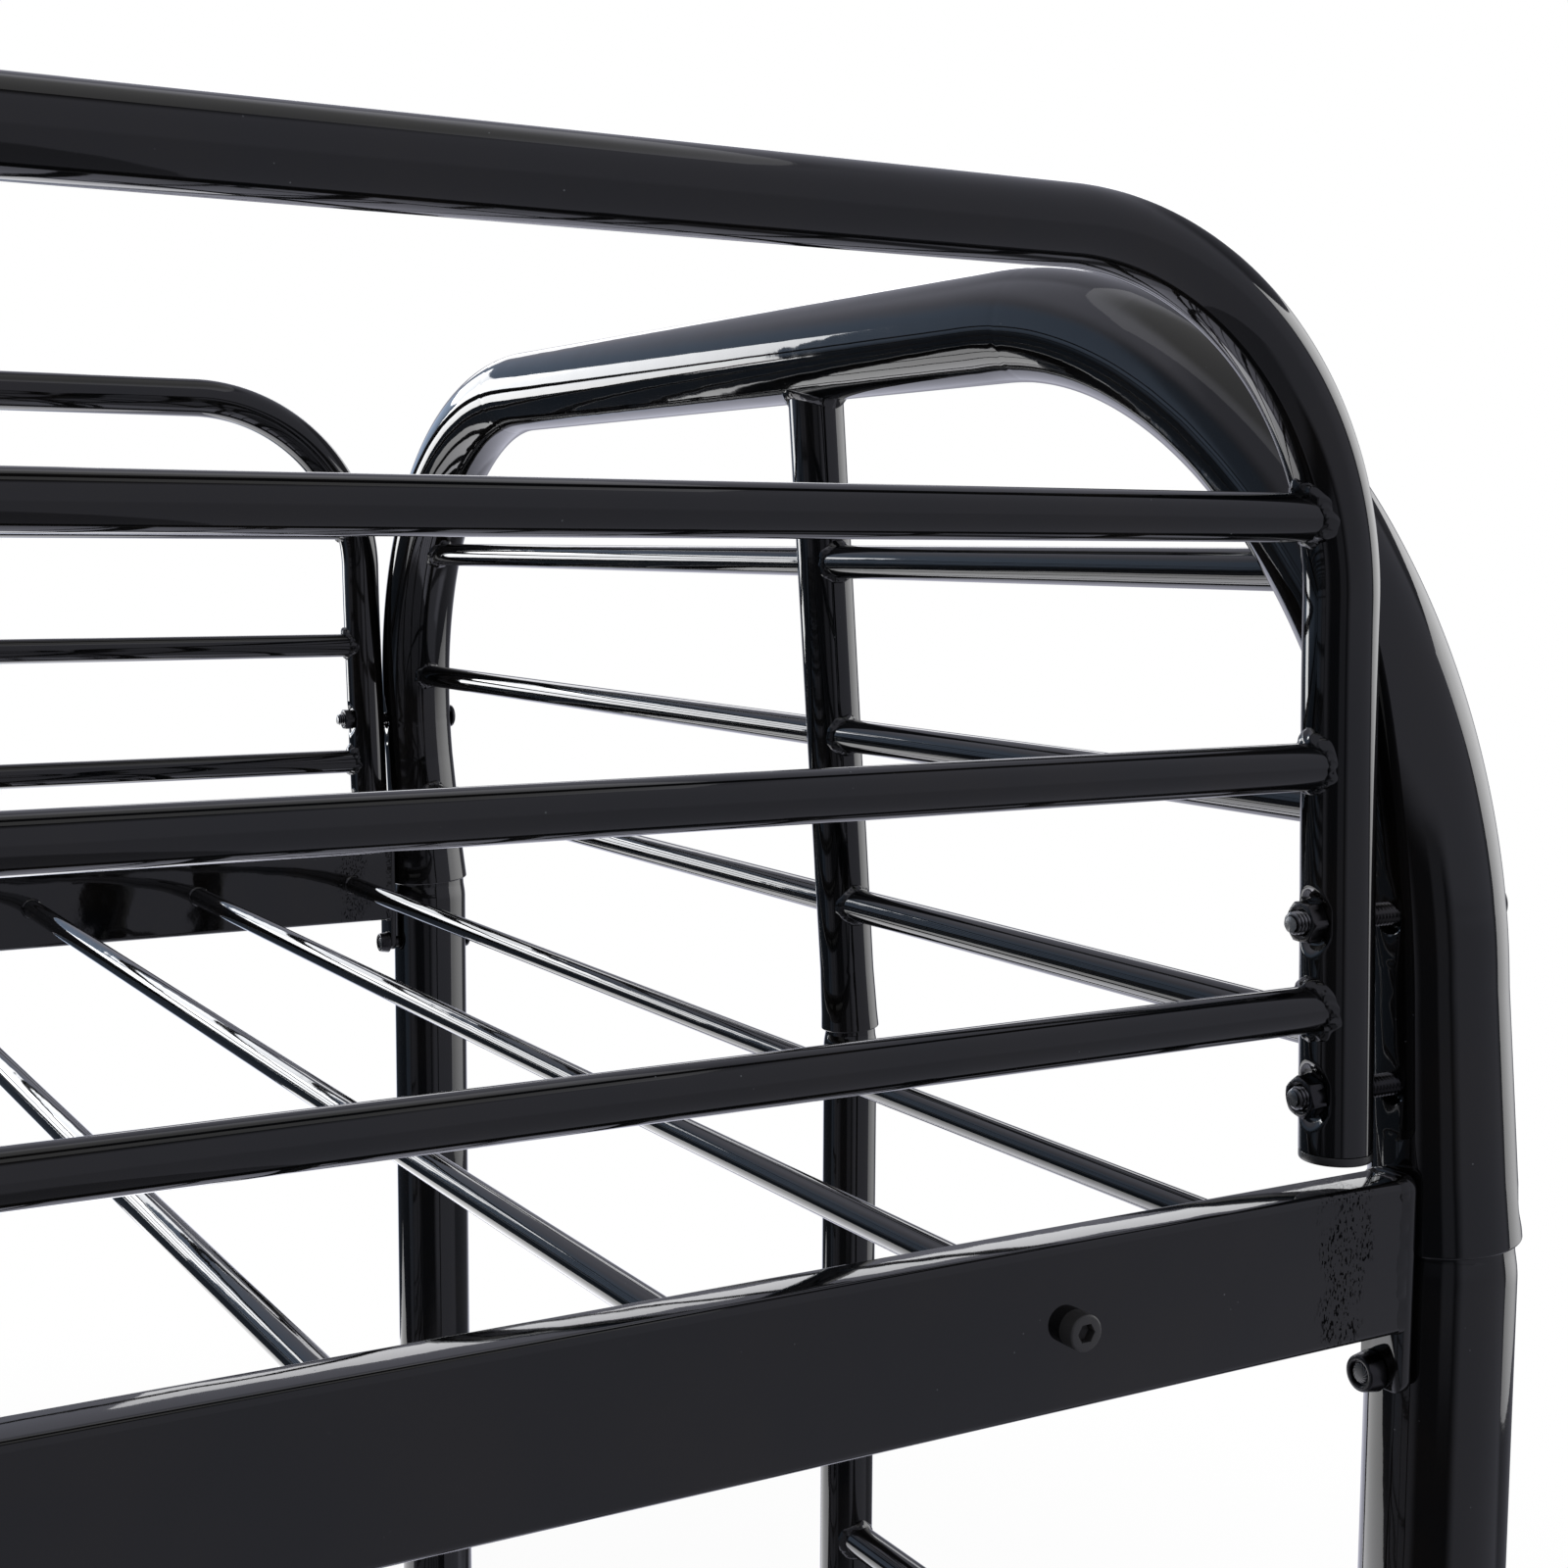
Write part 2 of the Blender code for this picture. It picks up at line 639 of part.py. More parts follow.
def build_guards(guard_paint, fastener, plastic):
    insets = {"front": GUARD_INSET_FRONT, "back": GUARD_INSET_BACK}
    heights = {"lower": GUARD_LOWER_BOLT, "upper": GUARD_UPPER_BOLT}
    for side_name, side in SIDES.items():
        inset = insets[side_name]
        guard = finish(guard_rail(f"guard_rail_{side_name}", inset), guard_paint)
        guard.location = (0, side * HALF_WIDE, 0)
        cap = plug(
            "cap", GUARD_RADIUS, CAP_WALL, CAP_RIM, CAP_PLUG_LENGTH, CAP_ROUNDING, GUARD_SIDES
        )
        seats = []
        for end_name, end in ENDS.items():
            location = (end * (HALF_LONG - inset), side * HALF_WIDE, GUARD_FOOT)
            seats.append((end_name, location, (0, 0, 0)))
        copies(cap, f"guard_cap_{side_name}", plastic, seats)
        for height_name, height in heights.items():
            bolt = guard_bolt_mesh("bolt", inset, height - UPPER_DECK_HEIGHT)
            base_name = f"guard_bolt_{side_name}_{height_name}"
            bolt_copies(bolt, base_name, fastener, side, height)


def build_decks(rail_paint, slat_paint, fastener):
    inner = RAIL_Y - RAIL_THICKNESS / 2 - SEAT_GAP
    first = -HALF_LONG + FIRST_SLAT_INSET
    decks = {
        "upper": (UPPER_DECK_HEIGHT, leg_face(RAIL_HEIGHT / 2 + PLATE_RISE, 1)),
        "lower": (LOWER_DECK_HEIGHT, POST_RADIUS),
    }
    for deck_name, (deck, stand_off) in decks.items():
        for side_name, side in SIDES.items():
            rail, plate_face = side_rail(f"{deck_name}_side_rail_{side_name}", deck, stand_off)
            drill_plates(rail, deck, plate_face, -side * RAIL_OUTSET)
            rail.location = (0, side * RAIL_Y, 0)
            finish(rail, rail_paint)
            bolt = rail_bolt_mesh("bolt", stand_off)
            base_name = f"{deck_name}_rail_bolt_{side_name}"
            bolt_copies(bolt, base_name, fastener, side, deck - RAIL_BOLT_BELOW_MIDDLE)
    start = (0, -inner, UPPER_DECK_HEIGHT)
    slat = bar("slat", start, (0, inner, UPPER_DECK_HEIGHT), SLAT_RADIUS, SLAT_SIDES)
    slats = []
    for index in range(SLAT_COUNT):
        slats.append((f"{index + 1:02d}", (first + index * SLAT_PITCH, 0, 0), (0, 0, 0)))
    copies(slat, "upper_slat", slat_paint, slats)
    weld_lower_slats(inner, first, rail_paint)


def weld_lower_slats(inner, first, paint):
    """The lower slats are one piece with the back rail that carries them."""
    back = bpy.data.objects["lower_side_rail_back"]
    slats = []
    for index in range(SLAT_COUNT):
        x = first + index * SLAT_PITCH
        start = (x, -inner, LOWER_DECK_HEIGHT)
        slats.append(bar("slat", start, (x, RAIL_Y, LOWER_DECK_HEIGHT), SLAT_RADIUS, SLAT_SIDES))
    combine(back, "UNION", slats)
    finish(back, paint)


def main():
    for old in list(bpy.data.objects):
        bpy.data.objects.remove(old)
    frame_paint = material("gloss black end frame", (0.012, 0.012, 0.014), 0.12, 0.0)
    guard_paint = material("gloss black guard rail", (0.014, 0.014, 0.016), 0.12, 0.0)
    rail_paint = material("gloss black side rail", (0.016, 0.016, 0.019), 0.16, 0.0)
    slat_paint = material("gloss black slat", (0.013, 0.014, 0.017), 0.14, 0.0)
    fastener = material("black oxide bolt", (0.03, 0.03, 0.032), 0.4, 0.8)
    plastic = material("black plastic end", (0.02, 0.02, 0.021), 0.45, 0.0)
    build_ends(frame_paint, plastic)
    build_guards(guard_paint, fastener, plastic)
    build_decks(rail_paint, slat_paint, fastener)


main()
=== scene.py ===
# %% [markdown]
# # A bunk bed in gloss black steel tube
#
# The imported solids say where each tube, bolt and slat of the bed is. This lesson dresses them:
# every part is worked out again as a fine surface in numpy, with its weld beads, pressed seats,
# threads and rounded rims, and is painted with a powder coat that behaves like the real one.

# %% Load the frame
import math

import bmesh
import bpy
import numpy as np
from mathutils import Matrix, Vector


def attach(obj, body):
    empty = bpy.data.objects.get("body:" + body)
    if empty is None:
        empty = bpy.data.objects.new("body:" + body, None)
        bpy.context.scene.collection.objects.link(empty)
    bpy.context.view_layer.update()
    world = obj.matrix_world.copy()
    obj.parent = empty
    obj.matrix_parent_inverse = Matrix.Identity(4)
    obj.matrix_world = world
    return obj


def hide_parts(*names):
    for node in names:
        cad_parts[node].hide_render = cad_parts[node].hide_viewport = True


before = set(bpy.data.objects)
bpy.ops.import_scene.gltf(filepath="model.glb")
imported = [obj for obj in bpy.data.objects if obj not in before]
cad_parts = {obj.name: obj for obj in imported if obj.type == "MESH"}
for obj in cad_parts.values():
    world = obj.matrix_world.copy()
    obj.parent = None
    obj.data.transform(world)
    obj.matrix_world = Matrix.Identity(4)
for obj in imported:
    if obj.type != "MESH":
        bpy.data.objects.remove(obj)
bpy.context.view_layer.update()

# %% [markdown]
# ## The sizes of the bed
#
# A maker would work from a drawing, so the drawing's numbers come before any surface. They repeat
# the solids' own values in metres. X runs along the bed, -Y is the front and Z is up. FIT is the
# gap that a maker leaves between parts that slide together.

# %% Sizes of the bed
FIT = 0.0003
HALF_LONG = 0.998
HALF_WIDE = 0.4875
DECKS = {"upper": 1.260, "lower": 0.330}
UPPER_DECK = DECKS["upper"]
POST_RADIUS = 0.0255
HOOP_RADIUS = 0.0236
HOOP_BEND = 0.2385
HOOP_TOP = UPPER_DECK + 0.0958 + HOOP_BEND
LEAN = math.radians(4.14)
SOCKET_LENGTH = 0.090
SOCKET_SWELL = 0.0032
NECK_BASE = UPPER_DECK - 0.0025
NECK_RADIUS = POST_RADIUS - 0.00125
NECK_LENGTH = 0.044
STILE_RADIUS = 0.0134
STILE_Y = 0.398 - HALF_WIDE
BAR_LIFTS = [0.0641 + 0.0848 * step for step in range(3)]
HEAD_BAR_HEIGHTS = [DECKS["lower"] + 0.135 + 0.0848 * step for step in range(3)]
RUNG_HEIGHTS = [0.200 + 0.265 * step for step in range(4)]
BAR_RADIUS = {"front": 0.008, "back": 0.00725}
RAIL_Y = HALF_WIDE + 0.0038
RAIL_HEIGHT = 0.054
RAIL_THICKNESS = 0.0195
PLATE_THICKNESS = 0.004
PLATE_DROP = 0.0220
RAIL_BOLT_DROP = 0.0438
SLAT_RADIUS = 0.006
SLAT_X = np.linspace(-0.939, 0.939, 18)
GUARD_RADIUS = 0.0125
GUARD_BEND = 0.115
GUARD_TOP = 1.5971
GUARD_FOOT = 1.2945
GUARD_BORE = 0.0109
GUARD_INSET = {"front": 0.058, "back": 0.049}
GUARD_BARS = [1.3475, 1.4292, 1.5109]
GUARD_BAR_RADIUS = 0.008
GUARD_BOLTS = {"lower": 1.3177, "upper": 1.3773}
SIDES = {"front": -1, "back": 1}
ENDS = {"left": -1, "right": 1}
TUBE_WALL = 0.0016
CAP_RIM = 0.0032
GLIDE_RIM = 0.006
SEAT_DEPTH = 0.0025
THREAD_PITCH = 0.0015
print("hoop crown axis at", round(HOOP_TOP, 4))

# %% [markdown]
# ## From grids of points to a closed mesh
#
# All the tubes, beads and bolts are grids: one direction runs along the piece and the other runs
# round it. A grid is an array of points and an array of (metres along, metres round), which
# becomes the UV map, so that a pattern can follow the tube. Grids that share a border are merged
# there, which also turns a row that has shrunk to one point into a proper pole.

# %% Grids into meshes
TAU = 2 * math.pi
SHARP_EDGE = math.radians(40)
MERGE = 2e-6


def patch(points, along=None, around=None):
    """A grid of points with (metres along, metres round) at each, summed from its own steps."""
    points = np.asarray(points, float)
    if along is None:
        steps = np.linalg.norm(np.diff(points, axis=0), axis=2).mean(axis=1)
        along = np.concatenate([[0], np.cumsum(steps)])[:, None]
    if around is None:
        steps = np.linalg.norm(np.diff(points, axis=1), axis=2).max(axis=0)
        around = np.concatenate([[0], np.cumsum(steps)])[None, :]
    return points, np.stack(np.broadcast_arrays(along, around), axis=-1)


def surface(name, patches, second=()):
    """One closed mesh from grids: quads between neighbours, borders merged, faces outward. The
    grids of the second list take the second material."""
    points, uvs, quads, start = [], [], [], 0
    first_count = sum((len(grid) - 1) * (len(grid[0]) - 1) for grid, uv in patches)
    patches = [*patches, *second]
    for grid, uv in patches:
        rows, columns = grid.shape[:2]
        index = start + np.arange(rows * columns).reshape(rows, columns)
        corners = (index[:-1, :-1], index[:-1, 1:], index[1:, 1:], index[1:, :-1])
        quads.append(np.stack(corners, axis=-1).reshape(-1, 4))
        points.append(grid.reshape(-1, 3))
        uvs.append(uv.reshape(-1, 2))
        start += rows * columns
    points, uvs, quads = (np.concatenate(part) for part in (points, uvs, quads))
    mesh = bpy.data.meshes.new(name)
    mesh.vertices.add(len(points))
    mesh.vertices.foreach_set("co", points.ravel())
    mesh.loops.add(quads.size)
    mesh.loops.foreach_set("vertex_index", quads.ravel())
    mesh.polygons.add(len(quads))
    mesh.polygons.foreach_set("loop_start", np.arange(0, quads.size, 4))
    mesh.polygons.foreach_set("loop_total", np.full(len(quads), 4))
    mesh.polygons.foreach_set("material_index", (np.arange(len(quads)) >= first_count).astype(np.int32))
    mesh.update(calc_edges=True)
    mesh.uv_layers.new(name="UVMap").data.foreach_set("uv", uvs[quads.ravel()].ravel())
    closed = bmesh.new()
    closed.from_mesh(mesh)
    bmesh.ops.remove_doubles(closed, verts=closed.verts, dist=MERGE)
    bmesh.ops.recalc_face_normals(closed, faces=closed.faces)
    closed.to_mesh(mesh)
    closed.free()
    mesh.shade_smooth()
    mesh.set_sharp_from_angle(angle=SHARP_EDGE)
    return mesh


def open_edges(mesh):
    """How many edges don't join exactly two faces."""
    edge = np.zeros(len(mesh.loops), np.int32)
    mesh.loops.foreach_get("edge_index", edge)
    return int(np.count_nonzero(np.bincount(edge, minlength=len(mesh.edges)) != 2))


def new_object(name, data):
    """An object at the origin, unturned and unscaled, in the scene."""
    thing = bpy.data.objects.new(name, data)
    bpy.context.scene.collection.objects.link(thing)
    return thing


made = {}


def dress(name, patches, finish, slot, *stands_for, second=(), second_finish=None):
    """A finished piece at the origin, painted, riding on the bed and standing for its solids."""
    mesh = surface(name, patches, second)
    mesh.materials.append(finish)
    if second_finish:
        mesh.materials.append(second_finish)
    piece = new_object(name, mesh)
    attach(piece, "root")
    if stands_for:
        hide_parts(*stands_for)
    made[name] = (len(mesh.loops) - 2 * len(mesh.polygons), open_edges(mesh))


def tell():
    """Print how many pieces there are so far and their triangles."""
    print("pieces:", len(made), "triangles:", sum(count for count, gaps in made.values()))


# %% [markdown]
# ## Moving grids about
#
# A weld or a bolt is worked out once in a frame of its own and then carried to its place. A place
# is an origin and three directions. The ends of the bed lean in from the sleeve joint up, so a
# last step tips the points above that joint, just as the maker bends the necks of the posts.

# %% Places and the lean
def placed(patches, origin, forward, across):
    """Grids carried so that local X points forward and local Y across, from this origin."""
    forward = np.asarray(forward, float)
    across = np.asarray(across, float)
    turn = np.stack([forward, across, np.cross(forward, across)])
    return [(grid @ turn + np.asarray(origin, float), uv) for grid, uv in patches]


def leaned(patches, end):
    """Points above the neck base turned about it by the lean: x falls by the sine of the height."""
    base = np.array((end * HALF_LONG, 0, NECK_BASE))
    sine, cosine = end * math.sin(LEAN), math.cos(LEAN)
    turn = np.array(((cosine, 0, sine), (0, 1, 0), (-sine, 0, cosine)))
    tipped = []
    for grid, uv in patches:
        tipped.append((np.where(grid[..., 2:] > NECK_BASE, (grid - base) @ turn + base, grid), uv))
    return tipped


def spaced(total, coarse, *spans):
    """Row places from 0 to total, coarse metres apart, and closer in each (low, high, step)."""
    rows = [np.linspace(0, total, int(math.ceil(total / coarse)) + 1)]
    rows += [np.arange(low, high + step / 2, step) for low, high, step in spans]
    rows = np.unique(np.clip(np.concatenate(rows), 0, total))
    keep = np.concatenate([[True], np.diff(rows) > 2e-5])
    keep[-1] = True
    return rows[keep]


def round_angles(columns):
    """The angles of a ring's columns, with the first one again at the end."""
    return np.linspace(0, TAU, columns + 1)


def noise(angle, seed, highest=7, lowest=1):
    """A wandering line that closes on itself: sines of whole turns with seeded strengths."""
    chance = np.random.default_rng(seed)
    total = np.zeros_like(angle, dtype=float)
    for turns in range(lowest, highest + 1):
        strength, shift = chance.normal() / math.sqrt(turns), chance.uniform(0, TAU)
        total += strength * np.sin(turns * angle + shift)
    return total / math.sqrt(sum(1 / turns for turns in range(lowest, highest + 1)))


# %% [markdown]
# ## Turned shapes
#
# Caps, glides, bolt heads and sleeve nuts are round, so each is a profile of (radius, height)
# turned about an axis. Real edges are never knife sharp, and on gloss black it is the rounded
# edge that catches the light. Each corner of a profile is therefore traded for a small arc.

# %% Turned shapes
def softened(outline, sizes, steps=3):
    """A profile with its inner corners cut back by sizes and bridged by a quadratic arc."""
    outline = np.asarray(outline, float)
    sizes = np.broadcast_to(sizes, len(outline))
    points = [outline[0]]
    share = np.linspace(0, 1, steps + 1)[:, None]
    for before, corner, after, size in zip(outline, outline[1:], outline[2:], sizes[1:]):
        back, on = before - corner, after - corner
        size_here = min(size, 0.48 * np.linalg.norm(back), 0.48 * np.linalg.norm(on))
        if size_here <= 0:
            points.append(corner)
            continue
        start = corner + back / np.linalg.norm(back) * size_here
        stop = corner + on / np.linalg.norm(on) * size_here
        points.extend((1 - share) ** 2 * start + 2 * share * (1 - share) * corner + share**2 * stop)
    points.append(outline[-1])
    return np.array(points)


def ringed(rows, columns):
    """A grid about local X from rows of (height, radius). A radius may change round its ring."""
    angle = round_angles(columns)
    rings = []
    for height, radius in rows:
        ring = np.broadcast_arrays(height, radius * np.cos(angle), radius * np.sin(angle))
        rings.append(np.stack(ring, axis=-1))
    return [patch(np.stack(rings))]


def turned(outline, columns=48):
    """A profile of (radius, height) turned about local X, which is the height's direction."""
    return ringed([(height, radius) for radius, height in outline], columns)


# %% [markdown]
# ## Tubes
#
# A tube is a circle carried along a centre line. Posts and bars are straight. The end hoops and
# guard rails are arches, each a leg, a quarter bend, a crown, a second bend and a second leg, so
# one function gives the centre line and the outward direction at any length along the arch.

# %% Tubes and arches
def straight(rows, radii, columns):
    """A tube about local X with a radius for each row, and a disc that closes each end."""
    wall = list(zip(rows, np.broadcast_to(radii, np.shape(rows))))
    discs = [(wall[0][0], 0.0), wall[0]], [wall[-1], (wall[-1][0], 0.0)]
    return ringed(wall, columns) + ringed(discs[0], columns) + ringed(discs[1], columns)


def arch(rows, half, foot, top, bend):
    """Centre line (sideways, height) and outward direction of an arch at lengths from one foot."""
    leg, quarter, crown = top - bend - foot, bend * math.pi / 2, 2 * (half - bend)
    total = 2 * leg + 2 * quarter + crown
    mirrored = rows > total / 2
    near = np.where(mirrored, total - rows, rows)
    angle = np.clip((near - leg) / bend, 0, math.pi / 2)
    sideways = bend - half - bend * np.cos(angle) + np.clip(near - leg - quarter, 0, None)
    height = foot + np.minimum(near, leg) + bend * np.sin(angle)
    flip = np.where(mirrored, -1, 1)
    return sideways * flip, height, -np.cos(angle) * flip, np.sin(angle)


def arch_length(half, foot, top, bend):
    """Two legs, two quarter bends and the crown."""
    return 2 * (top - bend - foot) + bend * math.pi + 2 * (half - bend)


def arch_wall(rows, radius, angle, shape):
    """Rings about the centre line: the depth across the arch's plane is the radius times the sine,
    and the radius times the cosine goes along the outward direction."""
    sideways, height, out_side, out_up = arch(rows, *shape)
    out = radius * np.cos(angle)
    depth = radius * np.sin(angle)
    return depth, sideways[:, None] + out * out_side[:, None], height[:, None] + out * out_up[:, None]


def mouth(ring, axis, bore, depth):
    """The inside of an open foot: from the lip in to the bore, up the bore, and closed at its end."""
    spoke = (ring - axis) * (1, 1, 0)
    spoke = spoke / np.linalg.norm(spoke, axis=1, keepdims=True)
    inner = [axis + radius * spoke + (0, 0, rise) for radius, rise in ((bore, 0), (bore, depth), (0, depth))]
    return patch(np.stack([ring, *inner]))


def arch_face(top, bend, radius):
    """The inner face of an arch: how far it stands inside the leg's axis, at a height and a depth
    off the arch's plane. In the bend it is the inside of a ring of this bend radius."""

    def face(height, depth):
        thickness = np.sqrt(np.clip(radius**2 - depth**2, 0, None))
        rise = np.clip(height - (top - bend), 0, None)
        return bend - np.sqrt(np.clip((bend - thickness) ** 2 - rise**2, 0, None))

    return face


def gathered(columns, pull):
    """Angles round a tube, closer together at both X sides by a sine of twice the angle."""
    angle = round_angles(columns)
    return angle + pull / 2 * np.sin(2 * angle)


def both_ways(total, spans):
    """Spans of rows counted from one foot of an arch, and the same spans from its other foot."""
    return spans + [(total - high, total - low, step) for low, high, step in spans]


# %% [markdown]
# ## Weld beads
#
# Where a bar meets a tube the welder lays a bead round it. The bar cuts the tube along a saddle
# curve, so the bead follows that curve: for each angle round the bar, one edge of the bead lies
# on the bar and the other on the tube. Between the edges it bulges, and its skin carries the
# ripples of the molten pool, which are what glints in the photograph.

# %% Weld beads
def bead(
    face, bar_radius, leg=0.0028, bulge=0.0007, seed=1, columns=96, rows=9, ripples=26,
    pinholes=0, ragged=1.0, climb=0.0,
):
    """A bead round a bar along local X. For angle a and share t across it, the point is the mix of
    the edge on the bar and the edge on the tube's face, pushed out by a bulge sine(pi t), and the
    ripples are crescents whose phase falls with the square of t. Pinholes are small bell pits, and
    the climb draws the tube's edge upward by the cube of the angle's sine."""
    angle = round_angles(columns)[None, :]
    t = np.linspace(0, 1, rows)[:, None]
    reach_bar = leg * (1 + 0.22 * ragged * noise(angle, seed))
    reach_tube = leg * (0.8 + 0.18 * ragged * noise(angle, seed + 1, 12))
    reach_tube = reach_tube + leg * climb * np.clip(np.sin(angle), 0, 1) ** 3
    bar_edge = face(bar_radius * np.cos(angle), bar_radius * np.sin(angle)) + reach_bar
    wide = bar_radius + reach_tube
    tube_edge = face(wide * np.cos(angle), wide * np.sin(angle)) - 0.0003
    ripple = np.abs(np.sin(ripples / 2 * (angle + 0.25 * (2 * t - 1) ** 2)))
    swell = bulge * (1 + 0.3 * ragged * noise(angle, seed + 2, 12)) - 0.00022 * ragged * ripple
    push = np.sin(math.pi * t) ** 0.7 * swell
    chance = np.random.default_rng(seed + 3)
    for number in range(pinholes):
        hole_angle, hole_t = chance.uniform(0, TAU), chance.uniform(0.3, 0.7)
        sideways = np.abs((angle - hole_angle + math.pi) % TAU - math.pi) * bar_radius
        push = push - 0.0007 * np.exp(-(sideways**2 + ((t - hole_t) * leg * 1.5) ** 2) / 0.0005**2)
    along = (1 - t) * bar_edge + t * tube_edge + 0.7 * push
    radius = (1 - t) * (bar_radius - 0.0003) + t * wide + 0.7 * push
    grid = np.stack([along, radius * np.cos(angle), radius * np.sin(angle)], axis=-1)
    return [patch(np.concatenate([grid, grid[:1]]))]


def round_face(radius):
    """The face of a straight tube across local Z: x is the root of radius squared less y squared."""
    return lambda y, z: np.sqrt(np.clip(radius**2 - y**2, 0, None))


def flat_face(y, z):
    """A flat wall across the bar."""
    return 0 * y


# %% [markdown]
# ## Pressed seats
#
# A nut can't pull square against a round tube, so the press flattens the wall under it. A point
# of the tube that stands further out than the seat's floor is pulled back to it, with a slope
# outside the floor that runs out into the round, and the two blend over a fraction of a millimetre.

# %% Pressed seats
def pressed(patches, centre, toward, tube_radius, seat=0.0082, depth=SEAT_DEPTH, slope=0.75, soft=0.0007):
    """Each point's height toward the press becomes the smooth lesser of itself and the die, whose
    floor lies at the radius less the depth and rises with the slope outside the seat."""
    toward = np.asarray(toward, float)
    shaped = []
    for grid, uv in patches:
        offset = grid - np.asarray(centre, float)
        height = offset @ toward
        spread = np.linalg.norm(offset - height[..., None] * toward, axis=-1)
        floor = tube_radius - depth + slope * np.clip(spread - seat, 0, None)
        mix = np.clip(0.5 + 0.5 * (floor - height) / soft, 0, 1)
        lesser = floor * (1 - mix) + height * mix - soft * mix * (1 - mix)
        near = (height > 0) & (height < 1.5 * tube_radius) & (spread < seat + 0.012)
        change = np.where(near, np.minimum(lesser - height, 0), 0)
        shaped.append((grid + change[..., None] * toward, uv))
    return shaped


# %% [markdown]
# ## Writing nodes in one line
#
# A look is a tree of nodes, and most nodes are sums. Each helper makes one node from numbers and
# from the results of other nodes, and gives back its own result, so a tree reads like a formula.

# %% Node helpers
def new_group(name, inputs, outputs):
    """A node group with its inputs (name, kind, value) and its outputs (name, kind)."""
    group = bpy.data.node_groups.new(name, "ShaderNodeTree")
    for label, kind, value in inputs:
        socket = group.interface.new_socket(label, in_out="INPUT", socket_type=kind)
        if value is not None:
            socket.default_value = value
    for label, kind in outputs:
        group.interface.new_socket(label, in_out="OUTPUT", socket_type=kind)
    return group, group.nodes.new("NodeGroupInput"), group.nodes.new("NodeGroupOutput")


def node(tree, kind, links, **settings):
    """A node with its settings, its links and values given by input name or number."""
    made_node = tree.nodes.new(kind)
    for key, value in settings.items():
        setattr(made_node, key, value)
    for key, value in links.items():
        if isinstance(value, bpy.types.NodeSocket):
            tree.links.new(value, made_node.inputs[key])
        else:
            made_node.inputs[key].default_value = value
    return made_node


def maths(tree, operation, *values, **settings):
    """The result of a sum on numbers and sockets."""
    return node(tree, "ShaderNodeMath", dict(enumerate(values)), operation=operation, **settings).outputs[0]


def ranged(tree, value, low, high, first=0.0, last=1.0, **settings):
    """A value carried from low and high to first and last, and held at both ends."""
    links = dict(enumerate((value, low, high, first, last)))
    return node(tree, "ShaderNodeMapRange", links, **settings).outputs[0]


def vectors(tree, operation, *values, output=0, **named):
    """The result of a sum on directions and places."""
    links = {**dict(enumerate(values)), **named}
    return node(tree, "ShaderNodeVectorMath", links, operation=operation).outputs[output]


def mixed(tree, share, first, second):
    """The mix of two colours or sockets by a share."""
    mix = node(tree, "ShaderNodeMix", {}, data_type="RGBA")
    for number, value in ((0, share), (6, first), (7, second)):
        if isinstance(value, bpy.types.NodeSocket):
            tree.links.new(value, mix.inputs[number])
        else:
            mix.inputs[number].default_value = (*value, 1)
    return mix.outputs[2]


def cloudy(tree, place, scale, detail):
    """A soft noise between 0 and 1."""
    return node(tree, "ShaderNodeTexNoise", {"Vector": place, "Scale": scale, "Detail": detail}).outputs[0]


def stretched(tree, place, scale):
    """A place with each axis scaled by its own number."""
    return node(tree, "ShaderNodeMapping", {"Vector": place, "Scale": scale}).outputs[0]


# %% [markdown]
# ## Paint: gloss black powder coat
#
# Powder coat is a thick melted film. It is nearly black, mirror-like, and never flat: a fine
# orange peel sits on a slow wave, and on drawn tube the wave is long along the tube and short
# round it, which is what pulls the reflections into streaks. Dust nibs and faint brown and blue
# tints break up the black. The effect is shared, so it is a node group that gives out a colour,
# a roughness, a height and a mask of the pits that paints shade in them, and each material keeps
# its own shader.

# %% Powder coat node group
NEAR_BLACK = (0.0012, 0.0015, 0.0020, 1)
BROWN_BLACK = (0.0034, 0.0028, 0.0024, 1)
DUST = (0.16, 0.17, 0.19)


